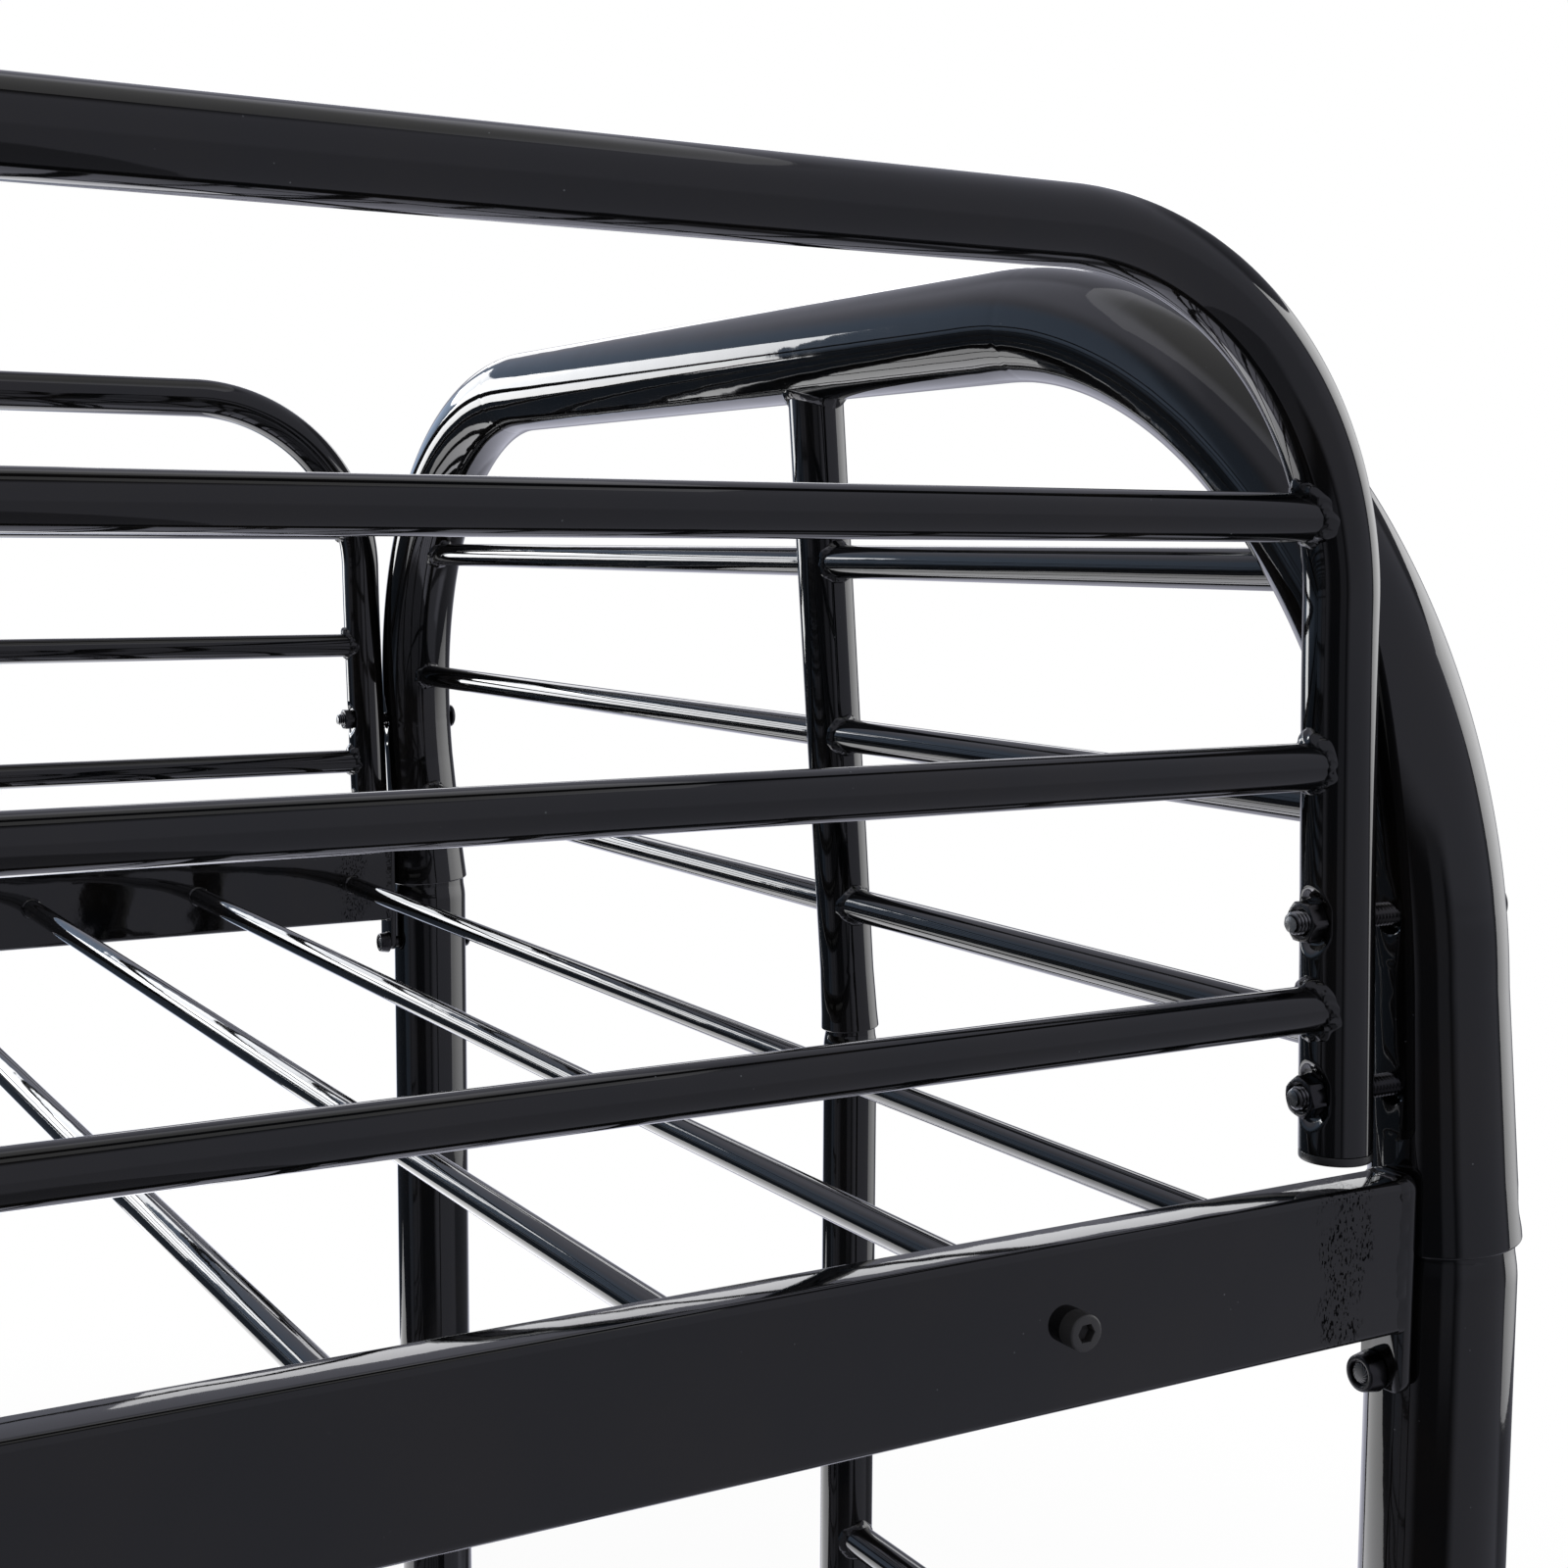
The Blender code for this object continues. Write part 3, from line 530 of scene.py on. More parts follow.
def powder_coat_group():
    """The film at a place. Its height is a slow wave, plus streaks along the tube, plus orange
    peel, less the pits, whose mask is also given out to paint shade in them. Nibs of dust are the
    cores of random cells where a coarse noise is high."""
    inputs = [("Position", "NodeSocketVector", None), ("Along", "NodeSocketVector", None)]
    inputs += [("Black", "NodeSocketColor", NEAR_BLACK), ("Tint", "NodeSocketColor", BROWN_BLACK)]
    shares = {"Roughness": 0.035, "Wave": 1.0, "Streak": 1.0, "Peel": 1.0, "Dust": 1.0, "Pits": 0.0}
    inputs += [(name, "NodeSocketFloat", value) for name, value in shares.items()]
    outputs = [("Colour", "NodeSocketColor")]
    outputs += [(name, "NodeSocketFloat") for name in ("Roughness", "Height", "Pit shade")]
    group, given, out = new_group("powder coat", inputs, outputs)
    given = given.outputs
    place = given["Position"]
    wave = cloudy(group, place, 38.0, 1.0)
    peel = cloudy(group, place, 420.0, 1.5)
    streak = cloudy(group, stretched(group, given["Along"], (4.0, 330.0, 1.0)), 1.0, 2.0)
    height = 0.0
    for texture, share, size in ((wave, "Wave", 1.3e-4), (streak, "Streak", 3.5e-6), (peel, "Peel", 2.2e-6)):
        part = maths(group, "MULTIPLY", maths(group, "MULTIPLY", texture, size), given[share])
        height = maths(group, "ADD", height, part)
    pores = cloudy(group, stretched(group, place, (1500.0, 1500.0, 620.0)), 1.0, 1.0)
    # The pits' mask sinks the film, and it is given out to paint shade in the pits.
    pits_and_shade = maths(group, "MULTIPLY", ranged(group, pores, 0.57, 0.62), given["Pits"])
    nibs = node(group, "ShaderNodeTexVoronoi", {"Vector": place, "Scale": 260.0}, feature="F1")
    small = ranged(group, nibs.outputs["Distance"], 0.085, 0.05)
    rare = ranged(group, cloudy(group, place, 60.0, 2.0), 0.62, 0.70, 0.0, 0.6)
    speck = maths(group, "MULTIPLY", maths(group, "MULTIPLY", small, rare), given["Dust"])
    hue = ranged(group, cloudy(group, place, 22.0, 3.0), 0.38, 0.66)
    shade = mixed(group, hue, given["Black"], given["Tint"])
    bloom = ranged(group, cloudy(group, place, 75.0, 4.0), 0.3, 0.75, 0.7, 1.6)
    rough = maths(group, "MULTIPLY", bloom, given["Roughness"])
    results = {
        "Colour": mixed(group, speck, shade, DUST),
        "Roughness": maths(group, "MULTIPLY_ADD", speck, 0.4, rough),
        "Height": maths(group, "MULTIPLY_ADD", pits_and_shade, -1.2e-5, height),
        "Pit shade": pits_and_shade,
    }
    for name, value in results.items():
        group.links.new(value, out.inputs[name])
    return group


powder_coat = powder_coat_group()
print("coat:", len(powder_coat.nodes), "nodes")

# %% [markdown]
# ## The finishes
#
# Every finish is one shader fed by the coat. The end frames, the guard rails, the side rails and
# the slats differ in how strong the wave, the streaks and the peel are. Oxide black nuts, threads
# rubbed bare with painted shade in their grooves, matt screws and moulded plastic are the same
# film with other colours.

# %% Finishes
PAINT_IOR = 1.55


def coated(name, values, metallic=0.0, scar=None, pitch=None):
    """A material with the powder coat group feeding one shader through one bump. A scar is a band
    of pits between two distances from the bed's middle, broken up by a coarse noise. The pits' mask
    goes to Metallic, and a black metal mirrors next to nothing, so the pits show as dark holes:
    this is painted shade in them. A pitch darkens a thread's grooves with painted shade: the map's
    height less its turn, over the pitch, runs to and fro between 0 in the groove and one half on
    the crest."""
    finish = bpy.data.materials.new(name)
    finish.use_nodes = True
    tree = finish.node_tree
    shader = tree.nodes["Principled BSDF"]
    shader.inputs["IOR"].default_value = PAINT_IOR
    shader.inputs["Metallic"].default_value = metallic
    place = tree.nodes.new("ShaderNodeTexCoord").outputs
    coat = tree.nodes.new("ShaderNodeGroup")
    coat.node_tree = powder_coat
    tree.links.new(place["Object"], coat.inputs["Position"])
    tree.links.new(place["UV"], coat.inputs["Along"])
    for key, value in values.items():
        coat.inputs[key].default_value = value
    if scar:
        middle, reach = (scar[0] + scar[1]) / 2, (scar[1] - scar[0]) / 2
        away = node(tree, "ShaderNodeSeparateXYZ", {0: place["Object"]}).outputs[0]
        away = maths(tree, "SUBTRACT", maths(tree, "ABSOLUTE", away), middle)
        near = ranged(tree, maths(tree, "ABSOLUTE", away), 0.0, reach, 0.9, 0.0)
        near = maths(tree, "ADD", cloudy(tree, place["Object"], 75.0, 1.0), near)
        tree.links.new(ranged(tree, near, 0.96, 1.12), coat.inputs["Pits"])
        # Painted shade in the pits: their mask makes the black film metallic, so they mirror nothing and
        # show dark.
        tree.links.new(coat.outputs["Pit shade"], shader.inputs["Metallic"])
    colour = coat.outputs["Colour"]
    # Painted shade in a thread's grooves: the colour is scaled down in each groove.
    if pitch:
        lengths = node(tree, "ShaderNodeSeparateXYZ", {0: place["UV"]}).outputs
        turn = maths(tree, "DIVIDE", maths(tree, "SUBTRACT", lengths[0], lengths[1]), pitch)
        crest = ranged(tree, maths(tree, "PINGPONG", turn, 0.5), 0.12, 0.34, 0.06, 1.0)
        colour = vectors(tree, "SCALE", colour, Scale=crest)
    bump = node(tree, "ShaderNodeBump", {"Height": coat.outputs["Height"], "Strength": 1.0, "Distance": 1.0})
    tree.links.new(colour, shader.inputs["Base Color"])
    tree.links.new(coat.outputs["Roughness"], shader.inputs["Roughness"])
    tree.links.new(bump.outputs["Normal"], shader.inputs["Normal"])
    return finish


NUT_METAL = {"Black": (0.035, 0.035, 0.038, 1), "Tint": (0.060, 0.058, 0.057, 1), "Roughness": 0.24}
THREAD_METAL = {"Black": (0.13, 0.13, 0.135, 1), "Tint": (0.20, 0.20, 0.20, 1), "Roughness": 0.28}
MATT_METAL = {"Black": (0.018, 0.018, 0.020, 1), "Tint": (0.026, 0.025, 0.024, 1), "Roughness": 0.46}
MOULDED = {"Black": (0.012, 0.012, 0.013, 1), "Tint": (0.018, 0.018, 0.018, 1), "Roughness": 0.35}
frame_paint = coated("end frame powder coat", {"Streak": 0.15, "Peel": 1.7})
guard_paint = coated("guard rail powder coat", {"Wave": 0.6, "Streak": 0.4})
# The rails' scar of pits is painted dark as shade, through the coat's pit mask.
rail_paint = coated("side rail powder coat", {"Wave": 1.5, "Streak": 0.2, "Peel": 1.5}, scar=(0.915, 0.962))
slat_paint = coated("slat powder coat", {"Streak": 0.35, "Peel": 1.8})
nut_black = coated("black oxide nut", NUT_METAL, metallic=1.0)
# Bare grey thread, with painted shade in its grooves.
thread_grey_with_groove_shade = coated("rubbed thread, painted groove shade", THREAD_METAL, metallic=1.0, pitch=THREAD_PITCH)
screw_black = coated("matt black screw", MATT_METAL)
plastic = coated("black plastic end", MOULDED)
FRAME_SLOT = "end_frame_paint"
print("finishes:", len(bpy.data.materials))

# %% [markdown]
# ## End hoops
#
# Each end is one bent tube. Its feet are expanded into long sockets that slide over the necks of
# the posts. The radius grows toward the lip along four straight stretches, and the lip is rolled.
# The seats and holes of the guard bolts are pressed into the legs, and so is the sleeve's crimp.

# %% End hoops
HOOP_SHAPE = (HALF_WIDE, UPPER_DECK, HOOP_TOP, HOOP_BEND)
FLARE = np.array(((0.0, 1.0), (0.25, 0.6), (0.6, 0.33), (1.0, 0.0)))
LIP_ROLL = 0.0007
LIP_LENGTH = 0.0009
CRIMP_LIFT = 0.0135
CREASE_DEPTH = 0.00005
CREASE_WIDTH = 0.0026
CREASE_BACK = 0.022
HOOP_SEAT = {"seat": 0.0045, "depth": 0.0007, "slope": 0.06}
HOOP_HOLE = {"seat": 0.0048, "depth": 0.0056, "slope": 7, "soft": 0.0004}
CRIMP = {"seat": 0.0015, "depth": 0.0015, "slope": 0.30}


def socket_radius(lift):
    """The hoop's radius at a lift above the lip: the swell falls from 1 to 0 up the socket."""
    return HOOP_RADIUS + SOCKET_SWELL * np.interp(lift / SOCKET_LENGTH, FLARE[:, 0], FLARE[:, 1])


def hoop_rows(total, leg, bends):
    """Rows along the arch: finest at the lips, the bolts and the creases, and fine in the bends."""
    spans = [(0, 0.004, 0.0003), (0.004, 0.14, 0.002), (leg, leg + HOOP_BEND * 1.6, 0.004)]
    lifts = [bolt - UPPER_DECK for bolt in GUARD_BOLTS.values()]
    spans += [(lift - 0.013, lift + 0.013, 0.0006) for lift in lifts]
    spans += [(bend - 0.009, bend + 0.009, 0.0009) for bend in bends]
    return spaced(total, 0.02, *both_ways(total, spans))


def hoop_patches(end):
    """The arch with its creases, the bores of its two sockets, and what the press leaves."""
    total = arch_length(*HOOP_SHAPE)
    leg = HOOP_TOP - HOOP_BEND - UPPER_DECK
    bends = [leg + CREASE_BACK, leg + HOOP_BEND * math.pi / 2 - CREASE_BACK]
    rows = hoop_rows(total, leg, bends)
    lift = np.minimum(rows, total - rows)
    radius = socket_radius(lift) - LIP_ROLL * np.clip(1 - lift / LIP_LENGTH, 0, 1) ** 2
    angle = gathered(128, 0.6)
    wrinkle = sum(np.exp(-(((lift - bend) / CREASE_WIDTH) ** 2)) for bend in bends)
    crease = CREASE_DEPTH * wrinkle[:, None] * (1 + 0.5 * noise(angle, 70 + end, 4))
    depth, y, z = arch_wall(rows, radius[:, None] - crease, angle, HOOP_SHAPE)
    wall = np.stack([end * HALF_LONG + depth, y, z], axis=-1)
    patches = [patch(wall)]
    for ring, side in ((wall[0], -1), (wall[-1], 1)):
        axis = (end * HALF_LONG, side * HALF_WIDE, UPPER_DECK)
        patches.append(mouth(ring, axis, NECK_RADIUS + FIT, NECK_LENGTH + 0.0005))
    for side in SIDES.values():
        for bolt in GUARD_BOLTS.values():
            for die in (HOOP_SEAT, HOOP_HOLE):
                where = (end * HALF_LONG, side * HALF_WIDE, bolt)
                patches = pressed(patches, where, (-end, 0, 0), socket_radius(bolt - UPPER_DECK), **die)
        crimp = (end * HALF_LONG, side * HALF_WIDE, UPPER_DECK + CRIMP_LIFT)
        outward = np.array((end, side, 0)) / math.sqrt(2)
        patches = pressed(patches, crimp, outward, socket_radius(CRIMP_LIFT), **CRIMP)
    return leaned(patches, end)


for end_name, end in ENDS.items():
    dress(f"hoop_tube_{end_name}", hoop_patches(end), frame_paint, FRAME_SLOT, f"end_hoop_{end_name}")
tell()

# %% [markdown]
# ## Stiles and bars of the ends
#
# Between the legs of the hoop stands a thinner stile, with three bars before it and three behind.
# The bars are coped: their ends follow the surface that they meet, and a bead closes the joint.

# %% Stiles and bars of the ends
STILE_SWELL = 0.0011
STILE_SOCKET = 0.030
STILE_TOP = HOOP_TOP - 0.020
STILE_LEG = 0.0035
COPE = 0.001
hoop_face = arch_face(HOOP_TOP, HOOP_BEND, HOOP_RADIUS)


def coped_bar(radius, first, second, reach, columns=48, spacing=0.02):
    """A bar along local X between two faces: each end ring follows its face, a little inside it."""
    angle = round_angles(columns)
    y, z = radius * np.cos(angle), radius * np.sin(angle)
    start = first(y, z) - COPE
    stop = reach - second(y, z) + COPE
    share = np.linspace(0, 1, max(3, int(reach / spacing)))[:, None]
    wall = np.stack(np.broadcast_arrays((1 - share) * start + share * stop, y, z), axis=-1)
    patches = [patch(wall)]
    for ring in (wall[0], wall[-1]):
        middle = np.broadcast_to(ring.mean(axis=0) * (1, 0, 0), ring.shape)
        patches.append(patch(np.stack([middle, ring])))
    return patches


def welded_bar(radius, first, second, reach, seed, apart=50, grid=(48, 0.02), **weld):
    """A coped bar with a bead at each end. The grid is the bar's columns and its rows' spacing."""
    far = bead(second, radius, seed=seed + apart, **weld)
    far = placed(far, (reach, 0, 0), (-1, 0, 0), (0, -1, 0))
    return coped_bar(radius, first, second, reach, *grid) + bead(first, radius, seed=seed, **weld) + far


def bars_to_stile(end, heights, outer_face, seed):
    """Bars between the outer tubes and the stile, at the heights of each side. The outer face is
    a function of the bar's height."""
    patches = []
    for side_name, side in SIDES.items():
        reach = abs(side * HALF_WIDE - STILE_Y)
        for step, height in enumerate(heights[side_name]):
            faces = outer_face(height), round_face(STILE_RADIUS)
            bar = welded_bar(BAR_RADIUS[side_name], *faces, reach, seed + 100 * step + 10 * side + end)
            place = (end * HALF_LONG, side * HALF_WIDE, height)
            patches += placed(bar, place, (0, -side, 0), (side, 0, 0))
    return patches


def on_hoop(height):
    """The hoop's inner face round a bar at this height: y is depth, z is height off the bar."""
    return lambda y, z: hoop_face(height + z, y) + socket_radius(height + z - UPPER_DECK) - HOOP_RADIUS


def end_panel_patches(end):
    """The stile with its socket, the bead that joins it to the crown, and its six bars."""
    x = end * HALF_LONG
    rows = spaced(STILE_TOP - UPPER_DECK, 0.02, (0, 0.003, 0.0002), (0, 0.034, 0.001))
    swell = STILE_SWELL * np.interp(rows / STILE_SOCKET, FLARE[:, 0], FLARE[:, 1])
    radii = STILE_RADIUS + swell - 0.0005 * np.clip(1 - rows / 0.0006, 0, 1) ** 2
    patches = placed(straight(rows, radii, 64), (x, STILE_Y, UPPER_DECK), (0, 0, 1), (0, -1, 0))
    crown = bead(round_face(HOOP_RADIUS), STILE_RADIUS, leg=STILE_LEG, seed=end + 5)
    patches += placed(crown, (x, STILE_Y, HOOP_TOP), (0, 0, -1), (1, 0, 0))
    heights = dict.fromkeys(SIDES, [UPPER_DECK + lift for lift in BAR_LIFTS])
    return leaned(patches + bars_to_stile(end, heights, on_hoop, 200), end)


for end_name, end in ENDS.items():
    panel = f"upper_end_panel_{end_name}"
    dress(f"end_bars_{end_name}", end_panel_patches(end), frame_paint, FRAME_SLOT, panel)
tell()

# %% [markdown]
# ## Posts and ladder panels
#
# The lower end frame has two posts with necks swaged to enter the hoop's sockets, and a stile with
# the ladder rungs in front of it and the head bars of the lower bunk behind it.

# %% Posts and ladder panels
POST_NECK = (NECK_RADIUS, NECK_LENGTH, 0.008)
STILE_NECK = (STILE_RADIUS - 0.0009, 0.026, 0.005)
NECK_NOSE = 0.002


def post_patches(end, y, radius, neck, neck_length, taper):
    """A tube with a swaged neck: the profile runs up the wall, in along the taper and up the neck."""
    low, top = GLIDE_RIM + FIT, UPPER_DECK + neck_length
    outline = [(0, low), (radius, low), (radius, NECK_BASE - taper), (neck, NECK_BASE)]
    outline += [(neck, UPPER_DECK + FIT), (neck, top - NECK_NOSE), (neck - NECK_NOSE, top), (0, top)]
    outline = softened(outline, [0, 0.0008, 0.003, 0.003, 0, 0, 0.0005, 0], 4)
    fine = []
    for (r0, h0), (r1, h1) in zip(outline, outline[1:]):
        steps = max(1, int(abs(h1 - h0) / 0.03))
        share = np.linspace(0, 1, steps, endpoint=False)[:, None]
        fine.append((1 - share) * (r0, h0) + share * (r1, h1))
    profile = np.concatenate([*fine, outline[-1:]])
    return leaned(placed(turned(profile, 96), (end * HALF_LONG, y, 0), (0, 0, 1), (1, 0, 0)), end)


for end_name, end in ENDS.items():
    ladder = post_patches(end, STILE_Y, STILE_RADIUS, *STILE_NECK)
    heights = {"front": RUNG_HEIGHTS, "back": HEAD_BAR_HEIGHTS}
    ladder += bars_to_stile(end, heights, lambda height: round_face(POST_RADIUS), 1000)
    dress(f"ladder_{end_name}", ladder, frame_paint, FRAME_SLOT, f"ladder_panel_{end_name}")
    for side_name, side in SIDES.items():
        corner = f"{side_name}_{end_name}"
        post = post_patches(end, side * HALF_WIDE, POST_RADIUS, *POST_NECK)
        dress(f"lower_post_{corner}", post, frame_paint, FRAME_SLOT, f"post_{corner}")
tell()

# %% [markdown]
# ## Guard rails
#
# Each guard rail is an arch of thinner tube with three bars, and it bolts to the hoop's legs. The
# press has flattened the wall under each nut. The open feet take plastic caps.

# %% Guard rails
SPLAY = math.tan(math.radians(1.72))
SPLAY_TOP = 1.47
SPLAY_EASE = 0.02
GUARD_LIP = GUARD_FOOT + CAP_RIM + FIT
GUARD_WELD = {
    "leg": 0.0024, "bulge": 0.0010, "columns": 160, "rows": 13, "ripples": 18, "pinholes": 4,
    "ragged": 1.7, "climb": 1.1,
}


def splay(height):
    """How far a leg stands outboard at a height: nothing above the splay's top, a straight slope
    below it, and between them the curve of drop plus root of (drop squared plus a small square)."""
    drop = SPLAY_TOP - height
    return SPLAY * (drop + np.sqrt(drop**2 + SPLAY_EASE**2)) / 2


def splayed(patches, half):
    """Points near the legs moved outboard, and the bars drawn out over their last 70 mm."""
    moved = []
    for grid, uv in patches:
        share = np.clip((np.abs(grid[..., 0]) - half + 0.10) / 0.07, 0, 1)
        shift = np.sign(grid[..., 0]) * splay(grid[..., 2]) * share**2 * (3 - 2 * share)
        moved.append((grid + shift[..., None] * (1, 0, 0), uv))
    return moved


def on_guard(height):
    """A guard rail's inner face round a bar at this height: y is depth, z is height off the bar."""
    face = arch_face(GUARD_TOP, GUARD_BEND, GUARD_RADIUS)
    return lambda y, z: face(height + z, y)


def guard_patches(side_name, side):
    """The arch, the bores of its feet, the seats under its nuts, and its welded bars."""
    half = HALF_LONG - GUARD_INSET[side_name]
    shape = (half, GUARD_LIP, GUARD_TOP, GUARD_BEND)
    total = arch_length(*shape)
    leg = GUARD_TOP - GUARD_BEND - GUARD_LIP
    spans = [(0, leg - 0.09, 0.0006), (leg - 0.01, leg + GUARD_BEND * 1.6, 0.002)]
    rows = spaced(total, 0.02, *both_ways(total, spans))
    depth, x, z = arch_wall(rows, GUARD_RADIUS, gathered(80, -0.35), shape)
    wall = np.stack(np.broadcast_arrays(x, side * HALF_WIDE + depth, z), axis=-1)
    patches = [patch(wall)]
    for ring, end in ((wall[0], -1), (wall[-1], 1)):
        patches.append(mouth(ring, (end * half, side * HALF_WIDE, GUARD_LIP), GUARD_BORE, 0.010))
    for end in ENDS.values():
        for bolt in GUARD_BOLTS.values():
            patches = pressed(patches, (end * half, side * HALF_WIDE, bolt), (-end, 0, 0), GUARD_RADIUS)
    for step, height in enumerate(GUARD_BARS):
        face = on_guard(height)
        seed = 2000 + 10 * step + side
        bar = welded_bar(GUARD_BAR_RADIUS, face, face, 2 * half, seed, **GUARD_WELD)
        patches += placed(bar, (-half, side * HALF_WIDE, height), (1, 0, 0), (0, 1, 0))
    return splayed(patches, half)


for side_name, side in SIDES.items():
    guard = guard_patches(side_name, side)
    dress(f"guard_tube_{side_name}", guard, guard_paint, "guard_rail_paint", f"guard_rail_{side_name}")
tell()

# %% [markdown]
# ## Side rails
#
# A side rail is a rectangular tube with a plate welded across each end. The tube's section is a
# rounded rectangle carried along X, and the plate is the same kind of outline, drawn in to its
# middle on both faces. The seam between them follows the tube's outline.

# %% Side rails
TO_MIDDLE = 1.0
PLATE_WIDTH = 0.0204
PLATE_RISE = 0.0012
RAIL_CORNER = 0.003
PLATE_CORNER = 0.005
SLAT_WELD = {"leg": 0.0014, "bulge": 0.0004, "columns": 48, "rows": 6, "ripples": 18}


def rounded_rectangle(width, low, high, corner, steps=6):
    """Points (y, z) round a rectangle whose corners are quarter arcs, closed on itself."""
    points = []
    for quarter, (side, level) in enumerate(((1, high), (-1, high), (-1, low), (1, low))):
        across = side * (width / 2 - corner)
        up = level + (corner if level == low else -corner)
        angle = (quarter + np.linspace(0, 1, steps + 1)) * math.pi / 2
        points.append(np.stack([across + corner * np.cos(angle), up + corner * np.sin(angle)], axis=1))
    return np.concatenate([*points, points[0][:1]])


def carried(outline, stations):
    """An outline of (y, z) carried along local X; each station is (x, share toward its middle)."""
    middle = (outline.min(axis=0) + outline.max(axis=0)) / 2
    size = outline.max(axis=0) - middle
    rows = []
    for x, inset in stations:
        ring = middle + (outline - middle) * np.clip((size - inset) / size, 0, 1)
        rows.append(np.column_stack([np.full(len(ring), x), ring]))
    return [patch(np.stack(rows))]


def plate_patches(outline, face, inward, edge=0.0006):
    """A plate between two faces: from its middle out, over a rounded edge, and back in."""
    stations = [(0, TO_MIDDLE), (0, edge), (edge * 0.3, edge * 0.3), (edge, 0)]
    stations += [(PLATE_THICKNESS - depth, inset) for depth, inset in reversed(stations)]
    return carried(outline, [(face + inward * depth, inset) for depth, inset in stations])


def leg_face(lift, inboard):
    """How far the leaning leg's face stands from the post's axis, at a lift above the lip."""
    above = lift + UPPER_DECK - NECK_BASE
    return float(socket_radius(lift)) / math.cos(LEAN) + inboard * math.tan(LEAN) * above


def seam(outline, face, inward, seed, leg=0.0009, run=0.0038, bulge=0.00034):
    """A bead along an outline, from the tube's side to the plate's face, with wandering edges."""
    steps = np.linalg.norm(np.diff(outline, axis=0), axis=1)
    length = np.concatenate([[0], np.cumsum(steps)])
    places = np.linspace(0, length[-1], int(length[-1] / 0.0008))
    line = np.stack([np.interp(places, length, outline[:, axis]) for axis in (0, 1)], axis=1)
    ahead = np.roll(line[:-1], -1, axis=0) - np.roll(line[:-1], 1, axis=0)
    normal = np.stack([ahead[:, 1], -ahead[:, 0]], axis=1)
    normal /= np.linalg.norm(normal, axis=1, keepdims=True)
    normal = np.concatenate([normal, normal[:1]])
    angle = (places / places[-1] * TAU)[None, :]
    t = np.linspace(0, 1, 8)[:, None]
    out_reach = leg * (0.9 + 0.3 * noise(angle, seed, 24))
    in_reach = run + 0.8 * leg * noise(angle, seed + 1, 40)
    crests = int(places[-1] / 0.0016)
    ripple = np.abs(np.sin(crests * angle / 2 + 0.8 * (2 * t - 1) ** 2))
    push = np.sin(math.pi * t) ** 0.7 * (bulge * (1 + 0.9 * noise(angle, seed + 2, 36)) - 0.00014 * ripple)
    offset = t * out_reach - (1 - t) * 0.0003 + 0.7 * push
    along = (1 - t) * in_reach - t * 0.0003 + 0.7 * push
    ring = line[None, :, :] + offset[..., None] * normal[None, :, :]
    grid = np.concatenate([(face + inward * along)[..., None], ring], axis=-1)
    return [patch(np.concatenate([grid, grid[:1]]))]


def rail_patches(deck, stand_off, seed):
    """The tube of a side rail, a plate at each end, and the seams between them."""
    low, high = deck - RAIL_HEIGHT / 2, deck + RAIL_HEIGHT / 2
    plate_face = HALF_LONG - stand_off - FIT
    tube_end = plate_face - PLATE_THICKNESS / 2
    outline = rounded_rectangle(RAIL_THICKNESS, low, high, RAIL_CORNER)
    plate_outline = rounded_rectangle(PLATE_WIDTH, low - PLATE_DROP, high + PLATE_RISE, PLATE_CORNER)
    stations = [(x, 0) for x in np.linspace(-tube_end, tube_end, 81)]
    patches = carried(outline, [(-tube_end, TO_MIDDLE), *stations, (tube_end, TO_MIDDLE)])
    for end in ENDS.values():
        patches += plate_patches(plate_outline, end * plate_face, -end)
        patches += seam(outline, end * (plate_face - PLATE_THICKNESS), -end, seed + end)
    return patches


def slat_patches(x, height, seed):
    """A slat between the rails' inner faces with a small bead at each end."""
    inner = RAIL_Y - RAIL_THICKNESS / 2
    slat = welded_bar(SLAT_RADIUS, flat_face, flat_face, 2 * inner, seed, 7, (36, 0.05), **SLAT_WELD)
    return placed(slat, (x, -inner, height), (0, 1, 0), (-1, 0, 0))


STAND_OFF = {"upper": leg_face(RAIL_HEIGHT / 2 + 0.0015, 1), "lower": POST_RADIUS}
for deck_name, deck in DECKS.items():
    for side_name, side in SIDES.items():
        name = f"{deck_name}_side_rail_{side_name}"
        patches = rail_patches(deck, STAND_OFF[deck_name], 3000 + side)
        patches = placed(patches, (0, side * RAIL_Y, 0), (1, 0, 0), (0, 1, 0))
        if name == "lower_side_rail_back":
            for number, x in enumerate(SLAT_X):
                patches += slat_patches(x, deck, 5000 + number)
        dress(f"{deck_name}_rail_tube_{side_name}", patches, rail_paint, "side_rail_paint", name)
for number, x in enumerate(SLAT_X):
    label = f"{number + 1:02d}"
    slat = slat_patches(x, UPPER_DECK, 4000 + number)
    dress(f"slat_tube_{label}", slat, slat_paint, "slat_paint", f"upper_slat_{label}")
tell()

# %% [markdown]
# ## Caps and glides
#
# Moulded plastic closes the open tubes: small caps under the guard rails, glides under the posts.
# Each is a turned profile with a rounded rim and a stem that plugs the bore.

# %% Caps and glides
CAP = (CAP_RIM, 0.0095, 0.0012)
GLIDE = (GLIDE_RIM, 0.0195, 0.002)


def plug(name, place, radius, sizes, stands_for):
    """A plug dressed at a place. Its sizes are the rim's height, the stem's length and the rim's
    rounding."""
    rim, length, rounding = sizes
    stem = radius - TUBE_WALL - FIT
    outline = [(0, 0), (radius, 0), (radius, rim), (stem, rim), (stem, rim + length), (0, rim + length)]
    outline = softened(outline, [0, rounding, 0.0003, 0.0003, 0.0008, 0], 5)
    patches = placed(turned(outline, 64), place, (0, 0, 1), (1, 0, 0))
    dress(name, patches, plastic, "black_plastic", stands_for)


